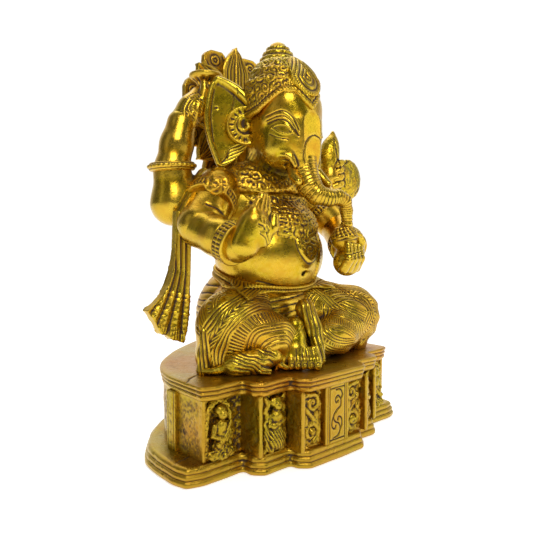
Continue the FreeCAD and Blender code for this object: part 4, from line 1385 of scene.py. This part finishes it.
sculpt("halo_disc", disc((0, 41.5, HALO_Z), (0, 1, 0), 30, 2.5), halo_disc_detail, 0.6)
sculpt("halo_front_petals", petals(0.0, POINTED, 33.7, 1.9), pointed_detail, 0.5)
sculpt("halo_back_petals", petals(SECTOR / 2, BLUNT, 37.6, 2.3), blunt_detail, 0.5)
sculpt("halo_stem", block((0, 27.8, 175), (9, 7.8, 25), 1.0), plain_detail, 0.7)
sculpt("halo_rivets", rivets_field(), plain_detail, 0.4)
sculpt("right_scarf_tail", sheet(TAIL, 2.4, lambda x, z: 0.0054 * (x + 70) ** 2), tail_detail, 0.42)
sculpt("scarf_strips", both(cord((-42, 12, 170, 4), (-54, 6, 158, 4.5), (-62, 4, 144, 5))), strip_detail, 0.4)


# ---------------------------------------------------------------- pedestal

PLINTH, UNDER_SLAB = 10.0, 44.0
STEPS = ((29.5, 65.0), (54.5, 54.5), (81.0, 42.0))     # half width and front of each step of the plan
SIDE_END, BACK = -14.0, 76.0
PANEL_HALF, FIN_PLACES = 9.8, (26.9, 48.9, 76.2)
WALL_MIDDLE = (PLINTH + UNDER_SLAB) / 2
WING_LOBE = (10.0, 3.0)
SIDE_BULGE = 2.4


def stepped_outline(flare=0.0, lobe=0.0, inset=(0.0, 0.0), setback=0.0):
    """Closed outline of the steps and the curved back, from the front middle to +x and round."""
    half = [(0.0, inset[1] - STEPS[0][1])]
    for i, (width, front) in enumerate(STEPS):
        width = width - inset[0] + (flare if i == 2 else 0) - (setback if i == 1 else 0)
        front = front - inset[1]
        along, down = ((lobe, lobe), (lobe, lobe), WING_LOBE)[i] if lobe else (0, 0)
        half += [(width - along, -front), (width, -front + down)] if along else [(width, -front)]
        if i < 2:
            half.append((width, inset[1] - STEPS[i + 1][1]))
    if flare:
        half.append((width + SIDE_BULGE, -30.0))
    wing, back = half[-1][0], BACK - inset[0]
    for t in np.arange(0, 1, 0.06):
        half.append((wing * (1 - t ** 2.1), SIDE_END + (back - SIDE_END) * t))
    half.append((0.0, back))
    return np.array(half + [(-x, y) for x, y in half[1:-1]][::-1])


def evenly(points, spacing):
    """The closed outline again with points at an even spacing, starting at the front middle."""
    loop = np.vstack([points, points[:1]])
    steps = np.concatenate([[0], np.cumsum(np.hypot(*np.diff(loop, axis=0).T))])
    count = int(steps[-1] / spacing)
    wanted = np.arange(count) * steps[-1] / count
    return np.column_stack([np.interp(wanted, steps, loop[:, i]) for i in range(2)])


def eased(points, rounds):
    """The closed outline with its corners rounded a little more each round."""
    for _ in range(rounds):
        points = 0.25 * np.roll(points, 1, axis=0) + 0.5 * points + 0.25 * np.roll(points, -1, axis=0)
    return points


def outward(points):
    """Unit vectors pointing out of the outline at its points."""
    along = np.roll(points, -1, axis=0) - np.roll(points, 1, axis=0)
    out = np.column_stack([along[:, 1], -along[:, 0]])
    return out / np.maximum(np.hypot(out[:, 0], out[:, 1]), 1e-9)[:, None]


def level(outline, z):
    return np.column_stack([outline, np.full(len(outline), z)])


def moulded(outline, profile):
    """The outline repeated at each (offset, z) of a moulding's profile."""
    out = outward(outline)
    return [level(outline + out * offset, z) for offset, z in profile]


def joined(rings, closed=False):
    """Quads between each ring and the next."""
    count = len(rings[0])
    index = np.arange(len(rings) * count).reshape(len(rings), count)
    if closed:
        index = np.vstack([index, index[:1]])
    low, high = index[:-1], index[1:]
    quads = np.stack([low, np.roll(low, -1, axis=1), np.roll(high, -1, axis=1), high], axis=-1)
    return np.vstack(rings).astype(np.float32), quads.reshape(-1, 4)


def shrunk(outline, z, factors):
    middle = np.array((0.0, 8.0))
    return [level((outline - middle) * f + middle, z) for f in factors]


def lay_down(node, p, quads, detail):
    """Chases and finishes a lofted pedestal piece."""
    n = normals(p, quads)
    height, dark = detail(p, n)
    finish_piece(node, p + n * height[:, None], quads, dark)


def slab_detail(p, n):
    side = 1 - np.abs(n[:, 2])
    wobble = (noise(p, 14.0, 41) - 0.5) * 0.8 + (noise(p, 5.0, 46) - 0.5) * 0.5 * side
    pits = np.clip(noise(p, 3.0, 42) - 0.72, 0, 1) * 2.2
    stain = np.clip(noise(p, 22.0, 43) - 0.45, 0, 1) * 0.35 * (1 - side)
    crack = stroke(p, [(-90, -26, SEAT), (-80, -24, SEAT), (-74, -19, SEAT), (-68, -16, SEAT)], TOP)
    crack = ridge(crack, 0.6) * np.clip(n[:, 2], 0, 1)
    height = wobble + 0.1 * grain(p, 2.0, 44) - pits * side - 0.5 * crack
    return height, stain + 0.5 * pits * side + 0.6 * crack


def wall_detail(p, n):
    x, y, z = p[:, 0], p[:, 1], p[:, 2]
    niche = np.clip(-n[:, 1] * 2 - 0.8, 0, 1) * (y < -30)
    corner = np.minimum(z - PLINTH, UNDER_SLAB - z)
    for place in (PANEL_HALF, *FIN_PLACES):
        corner = np.minimum(corner, np.abs(np.abs(x) - place))
    fillet = np.clip(1 - corner / 4.0, 0, 1) ** 1.5
    rough = grain(p, 2.4, 51) + 0.7 * grain(p, 1.1, 52)
    height = 0.9 * (noise(p, 8.0, 55) - 0.5) + niche * (1.3 * rough + 1.6 * fillet * (1 + rough))
    height = height + 0.2 * (1 - niche) * (grain(p, 3.0, 53) + grain(p, 1.3, 52))
    # Painted shade: faces turned to the sides are darkened; streaky stains darken all a little.
    side = np.clip(np.abs(n[:, 0]) * 2 - 0.8, 0, 1) * (np.abs(x) > 60)
    streak = np.clip(noise(p * vec((1, 1, 0.2)), 5.0, 54) - 0.55, 0, 1)
    return height, niche * (0.1 - 0.2 * rough) + (0.2 + 0.6 * streak) * side + 0.3 * streak


# Mouldings round the slab and the foot, as (offset outwards, height).
SLAB = [(-1.6, 44.0), (-1.5, 44.6), (-1.2, 45.3), (-1.2, 46.2), (-1.9, 46.7), (-1.3, 47.2), (-0.7, 47.7),
        (-0.7, 48.7), (-1.5, 49.2), (-0.6, 49.7), (-0.05, 50.3), (-0.05, 51.1), (-0.5, 51.7), (-1.1, 51.95)]
FOOT = [(-7.0, 0.0), (-3.0, 0.0), (-0.6, 0.05), (0.0, 0.7), (0.0, 2.4), (-0.7, 3.1), (-1.5, 3.5), (-0.9, 4.0),
        (-0.9, 5.6), (-1.6, 6.2), (-2.3, 6.6), (-1.8, 7.1), (-1.9, 8.6), (-2.6, 9.4), (-3.6, 9.9)]


def lay_slab():
    edge = eased(evenly(stepped_outline(lobe=5.5), 0.8), 8)
    rings = shrunk(edge, UNDER_SLAB, np.linspace(0.1, 0.95, 12)) + moulded(edge, SLAB)
    rings += shrunk(edge, SEAT, np.append(np.linspace(0.975, 0.1, 46), 0.001))
    lay_down("pedestal_slab", *joined(rings), slab_detail)


def lay_plinth():
    edge = eased(evenly(stepped_outline(flare=9.5, lobe=6.0), 0.8), 8)
    rings = moulded(edge, FOOT) + shrunk(edge, PLINTH, np.linspace(0.945, 0.70, 22))
    lay_down("pedestal_plinth", *joined(rings), slab_detail)


def lay_wall():
    """Hollow wall: up the outer face, then down a coarser inner one."""
    outer = eased(evenly(stepped_outline(inset=(2.6, 7.0), setback=3.0), 0.6), 1)
    inner = eased(evenly(stepped_outline(inset=(5.6, 10.0), setback=3.0), 0.6), 1)
    wanted = np.linspace(0, len(inner), len(outer), endpoint=False)
    inner = np.column_stack([np.interp(wanted, np.arange(len(inner) + 1), np.append(side, side[0]))
                             for side in inner.T])
    levels = np.arange(PLINTH - 0.5, UNDER_SLAB + 0.6, 0.6)
    rings = [level(outer, z) for z in levels] + [level(inner, z) for z in levels[::-8]]
    lay_down("pedestal_wall", *joined(rings, True), wall_detail)


lay_slab()
lay_plinth()
lay_wall()


def fins_field():
    fins = []
    for x, front, back in zip(FIN_PLACES, (63.2, 52.7, 37.5), (47.5, 35.0, 34.0)):
        middle = (-x - 1.1, -(front + back) / 2, WALL_MIDDLE)
        fins.append(block(middle, (1.25, (front - back) / 2, 17.3), 0.7))
    return both(union(*fins))


def fin_detail(p, n):
    height = 0.5 * (noise(p, 10.0, 61) - 0.5) + 0.9 * (noise(p, 7.0, 65) - 0.5) + 0.35 * grain(p, 2.0, 62)
    return height, 0.2 * noise(p, 4.0, 63) * (1 - np.clip(-n[:, 1], 0, 1))


PANEL_VINE = (
    [(-3.5, 12.5), (0.5, 13.5), (2.6, 17), (1.5, 20.5), (-2, 22.5), (-3.2, 26), (-0.5, 29), (2.6, 31),
     (3.0, 35), (0.5, 37.5), (-1.8, 35.8), (-1.0, 33.6), (0.6, 34.4)],
    [(2.6, 17), (4.2, 20), (3.6, 23.5), (1.2, 24.6), (0.4, 22.8)],
    [(-3.2, 26), (-4.6, 23), (-4.4, 19.5), (-2.2, 18), (-1.2, 19.8)],
    [(3.0, 35), (4.4, 38), (2.4, 41), (-1.0, 41.2)])


def panel_detail(p, n):
    front = np.clip(-n[:, 1] * 3 - 1.5, 0, 1)
    a, b = p[:, 0], p[:, 2]
    vine = np.minimum.reduce([line_gap(a, b, smooth_line(stem)) for stem in PANEL_VINE])
    border = ridges(np.abs(a), (6.6, 8.2), 0.35)
    dots = ridge(np.abs(b - 27) - 15.4, 0.4) * (np.abs(a) < 6.6)
    cutting = (ridge(vine, 0.55) + border + dots) * front
    return 0.25 - 0.75 * np.clip(cutting, 0, 1), 0.4 * cutting


def spiral(centre, start, turns, first, last, radius):
    """Curling stem along a flat spiral, thinner towards its inner end."""
    rows = []
    for t in np.linspace(0, 1, 17):
        angle = start + turns * 2 * math.pi * t
        reach = first + (last - first) * t
        rows.append((centre[0] + reach * math.cos(angle), 0, centre[1] + reach * math.sin(angle),
                     radius * (1 - 0.35 * t)))
    return limb(*rows)


def niche_scroll_field():
    ground = block((0, 1.6, WALL_MIDDLE), (7.0, 1.4, 17.0), 0.8)
    lower = spiral((-0.3, 19.0), -1.2, 1.6, 6.4, 0.6, 1.7)
    upper = spiral((1.0, 35.5), 2.0, -1.4, 5.6, 0.6, 1.6)
    stem = cord((5, 0, 13, 1.6), (6, 0, 22, 1.5), (0.5, 0, 27.5, 1.5), (-4.6, 0, 33, 1.5))
    leaves = union(egg((4.0, 0, 28), (2.2, 1.6, 3.6)), egg((-4.6, 0, 26), (1.8, 1.6, 3.4)),
                   egg((-4.0, 0, 41), (2.8, 1.6, 1.8)), egg((0.4, -0.6, 19), (2.0, 1.8, 2.0)))
    return both(moved(union(ground, union(lower, upper, stem, leaves, k=0.6), k=0.8), -18.3, -59.2))


def relief_detail(p, n):
    rough = grain(p, 1.5, 71)
    return 0.7 * rough, 0.03 - 0.25 * rough


def player_standing_field():
    """Drummer between leafy sprays, once in each second niche."""
    back = block((0, 2.4, WALL_MIDDLE), (9.2, 1.2, 17.2), 0.8)
    skirt = limb((0, 0, 24, 4.6), (-0.5, -0.4, 17, 5.6), k=1.0)
    legs = union(limb((-2.6, -0.5, 20, 2.8), (-3.6, -0.5, 12, 2.2)),
                 limb((2.6, -0.5, 20, 2.8), (3.8, -0.5, 12, 2.2)))
    chest = limb((0, -0.5, 25, 3.8), (0, -0.8, 31, 4.6), k=1.0)
    face = union(ball((0.4, -2.0, 37.2), 3.2), egg((0.4, -0.6, 38.8), (4.6, 3.2, 3.6)), k=0.3)
    leaves = ((11, 0.6), (19, 0.2), (27, 0.4), (34, 1.2))
    sprays = union(*[cord((side * 7.6, 0.6, low, 1.4), (side * (6.4 - swing), 0.2, low + 4, 1.7),
                          (side * 7.4, 0.4, low + 8, 1.3))
                     for side in (-1, 1) for low, swing in leaves], k=0.4)
    arms = union(limb((-4, -0.6, 31, 1.7), (-5.4, -1.6, 26.5, 1.5), (-1, -3.6, 27.5, 1.3)),
                 limb((4, -0.6, 31, 1.7), (5.4, -1.6, 27.5, 1.5), (2, -3.6, 30, 1.3)))
    drum = limb((-3.4, -3.2, 26.2, 1.9), (3.4, -3.2, 28.8, 1.9))
    sash = union(cord((-4.5, -0.5, 24, 1.0), (-6.6, -0.5, 18, 1.2), (-5.6, -0.5, 12.5, 0.9)),
                 cord((4.5, -0.5, 24, 1.0), (6.4, -0.5, 18, 1.2), (6.0, -0.5, 12.5, 0.9)))
    body = union(skirt, legs, chest, face, arms, drum, sash, sprays, k=0.5)
    return both(moved(union(back, body, k=0.8), -38.0, -50.0))


def player_detail(p, n):
    folds = wave(p[:, 0] * 1.2 + p[:, 2] * 0.5, 1.9) * inside(p[:, 2], 11, 24, 1.0)
    rough = grain(p, 1.4, 72)
    x = np.abs(p[:, 0])
    eyes = sum(ridge(np.hypot(x - 37.6 - side, p[:, 2] - 37.8), 0.45) for side in (-1.0, 1.0))
    shade = 0.04 + 0.2 * (1 - folds) * inside(p[:, 2], 11, 24) - 0.2 * rough
    return 0.4 * folds + 0.6 * rough - 0.4 * eyes, shade


def player_seated_field():
    """Seated lute player under an arch, once in each outer niche."""
    arch = cord((-7.8, 2, 12, 1.8), (-8.2, 2, 26, 1.9), (-6.5, 2, 38, 2.0), (0, 2, 42.5, 2.0),
                (6.5, 2, 38, 2.0), (8.0, 2, 26, 1.9), (7.8, 2, 12, 1.8))
    legs = union(limb((-2, 0, 17, 3.2), (6.0, -1.2, 13.6, 2.5), (-1, -2.4, 12.6, 1.8)),
                 limb((2, 0, 17, 3.2), (-6.0, -1.2, 13.6, 2.5), (3, -2.0, 12.6, 1.8)))
    chest = limb((-0.4, 0, 18, 3.2), (-0.2, -0.4, 24, 3.0), (0.2, -0.6, 29.0, 3.6), k=1.0)
    face = union(ball((0.8, -1.8, 35.2), 2.9), egg((0.4, -0.2, 37.2), (3.4, 3.0, 3.2)), k=0.3)
    arms = union(limb((4, -0.5, 29, 1.7), (6.2, -1.4, 24.5, 1.5), (2.0, -3.2, 21.5, 1.3)),
                 limb((-4, -0.5, 29, 1.7), (-5.6, -1.4, 24.0, 1.5), (-1.6, -3.4, 22.5, 1.3)))
    lute = cord((-3.0, -3.4, 19.5, 2.0), (1, -3.6, 23, 0.9), (5.6, -2.6, 31, 0.8))
    body = union(legs, chest, face, arms, lute, k=0.5)
    return both(moved(union(arch, body, k=0.5), -67.5, -38.0))


def seated_detail(p, n):
    rough = grain(p, 1.4, 73)
    x = np.abs(p[:, 0])
    rim = np.clip(np.hypot(x - 67.5, (p[:, 2] - 30) * 0.7) - 7.0, 0, 1)
    eyes = sum(ridge(np.hypot(x - 66.7 - side, p[:, 2] - 35.6), 0.45) for side in (-1.0, 1.0))
    folds = wave(x * 0.8 + p[:, 2], 1.9) * inside(p[:, 2], 10, 17, 1.0)
    return 0.5 * rough + 1.1 * rim * rough + 0.35 * folds - 0.4 * eyes, 0.02 - 0.2 * rough + 0.1 * rim


def side_panel_detail(p, n):
    front = square_on(n[:, 0])
    border = ridges(np.abs(p[:, 1] + 9.0), (2.9,), 0.35) * front
    # The even 0.16 is painted shade on the side panels; the border line holds patina.
    return 0.35 * grain(p, 2.4, 74) - 0.4 * border, 0.16 + 0.35 * border


sculpt("pedestal_fins", fins_field(), fin_detail, 0.5)
sculpt("scroll_panel", block((0, -60.5, WALL_MIDDLE), (PANEL_HALF, 2.8, 17.2), 0.5), panel_detail, 0.3)
sculpt("niche_scrolls", niche_scroll_field(), relief_detail, 0.36, grow=3.0)
sculpt("standing_musicians", player_standing_field(), player_detail, 0.36, grow=3.5)
sculpt("seated_musicians", player_seated_field(), seated_detail, 0.36, grow=3.5)
sculpt("side_panels", both(block((-79.2, -9.0, WALL_MIDDLE), (1.6, 4.2, 17.2), 0.6)), side_panel_detail, 0.5)


# ---------------------------------------------------------------- fixings


def steel_detail(p, n):
    threads = wave(p[:, 2], 1.0) * np.clip(1 - np.abs(n[:, 2]) * 2, 0, 1)
    return -0.25 * threads, 0.3 * threads


def studs_field():
    return both(disc((-STUD_X, STUD_Y, 48), (0, 0, 1), 2.5, 20.0))


def washers_field():
    hole = limb((-STUD_X, STUD_Y, 40, 2.6), (-STUD_X, STUD_Y, 50, 2.6))
    return both(cut(disc((-STUD_X, STUD_Y, 43.4), (0, 0, 1), 6.0, 0.6, 0.2), hole, 0.1))


def nuts_field():
    def field(p):
        a, b = np.abs(p[:, 0]) - STUD_X, p[:, 1] - STUD_Y
        flats = np.maximum(np.abs(b), np.abs(a) * 0.866 + np.abs(b) * 0.5) - 4.0
        hole = 2.4 - np.hypot(a, b)
        return np.maximum(np.maximum(flats, hole), np.abs(p[:, 2] - 40.8) - 2.0)
    return field


sculpt("figure_studs", studs_field(), steel_detail, 0.45)
sculpt("stud_washers", washers_field(), plain_detail, 0.35)
sculpt("stud_nuts", nuts_field(), plain_detail, 0.35)


# ---------------------------------------------------------------- floor, light and camera


def paper():
    """Matt white that glows a little, for the floor."""
    made = bpy.data.materials.new("pale_floor")
    made.use_nodes = True
    inputs = made.node_tree.nodes["Principled BSDF"].inputs
    for name, value in (("Base Color", (0.9, 0.9, 0.9, 1)), ("Roughness", 0.8),
                        ("Emission Color", (1, 1, 1, 1)), ("Emission Strength", 0.55)):
        inputs[name].default_value = value
    return made


bpy.ops.mesh.primitive_plane_add(size=8.0, location=(0, 0, -0.0004))
floor_plane = bpy.context.object
floor_plane.name = "floor"
floor_plane.data.materials.append(paper())

world = bpy.data.worlds.new("studio")
bpy.context.scene.world = world
world.use_nodes = True
tree = world.node_tree
where = tree.nodes.new("ShaderNodeTexCoord")
split = tree.nodes.new("ShaderNodeVectorMath")
split.operation = "DOT_PRODUCT"
tree.links.new(where.outputs["Generated"], split.inputs[0])
split.inputs[1].default_value = (0.62, 0.70, 0.35)
glow = ramp(tree, split.outputs["Value"], 0.3, 0.82, 0.12, 1.05)
tree.links.new(glow, tree.nodes["Background"].inputs["Strength"])
tree.nodes["Background"].inputs["Color"].default_value = (1.0, 0.99, 0.97, 1)


def softbox(name, place, size, power):
    """Rectangular lamp at a place given from the idol's heart, turned towards it."""
    light = bpy.data.lights.new(name, "AREA")
    light.shape = "RECTANGLE"
    light.size, light.size_y = size
    light.energy = power
    light.color = (1.0, 0.98, 0.94)
    lamp = bpy.data.objects.new(name, light)
    lamp.location = heart + Vector(place)
    lamp.rotation_euler = (-Vector(place)).to_track_quat("-Z", "Y").to_euler()
    bpy.context.scene.collection.objects.link(lamp)


middle = Vector(SHIFT.tolist()) * MILLIMETRE
heart = middle + Vector((0, 0, 0.13))
softbox("key", (-0.45, -0.75, 0.8), (0.6, 0.6), 7.5)
softbox("fill", (0.75, -0.7, 0.3), (0.4, 1.0), 2.5)
softbox("side", (-0.9, 0.1, 0.4), (0.3, 0.8), 0.4)

sun = bpy.data.objects.new("sky", bpy.data.lights.new("sky", "SUN"))
sun.data.energy = 0.9
sun.data.angle = 0.9
sun.rotation_euler = Vector((-0.25, -0.35, -1)).to_track_quat("-Z", "Y").to_euler()
bpy.context.scene.collection.objects.link(sun)

camera = bpy.data.objects.new("camera", bpy.data.cameras.new("camera"))
camera.data.lens = 37.15
camera.data.sensor_width = 36.0
camera.data.clip_start = 0.01
camera.location = middle + Vector((-0.2432, -0.2749, 0.1334))
pitch = math.radians(3.5)
look = Vector((0.6626 * math.cos(pitch), 0.749 * math.cos(pitch), -math.sin(pitch)))
camera.rotation_euler = look.to_track_quat("-Z", "Y").to_euler()
bpy.context.scene.collection.objects.link(camera)
bpy.context.scene.camera = camera
bpy.context.scene.view_settings.view_transform = "Standard"
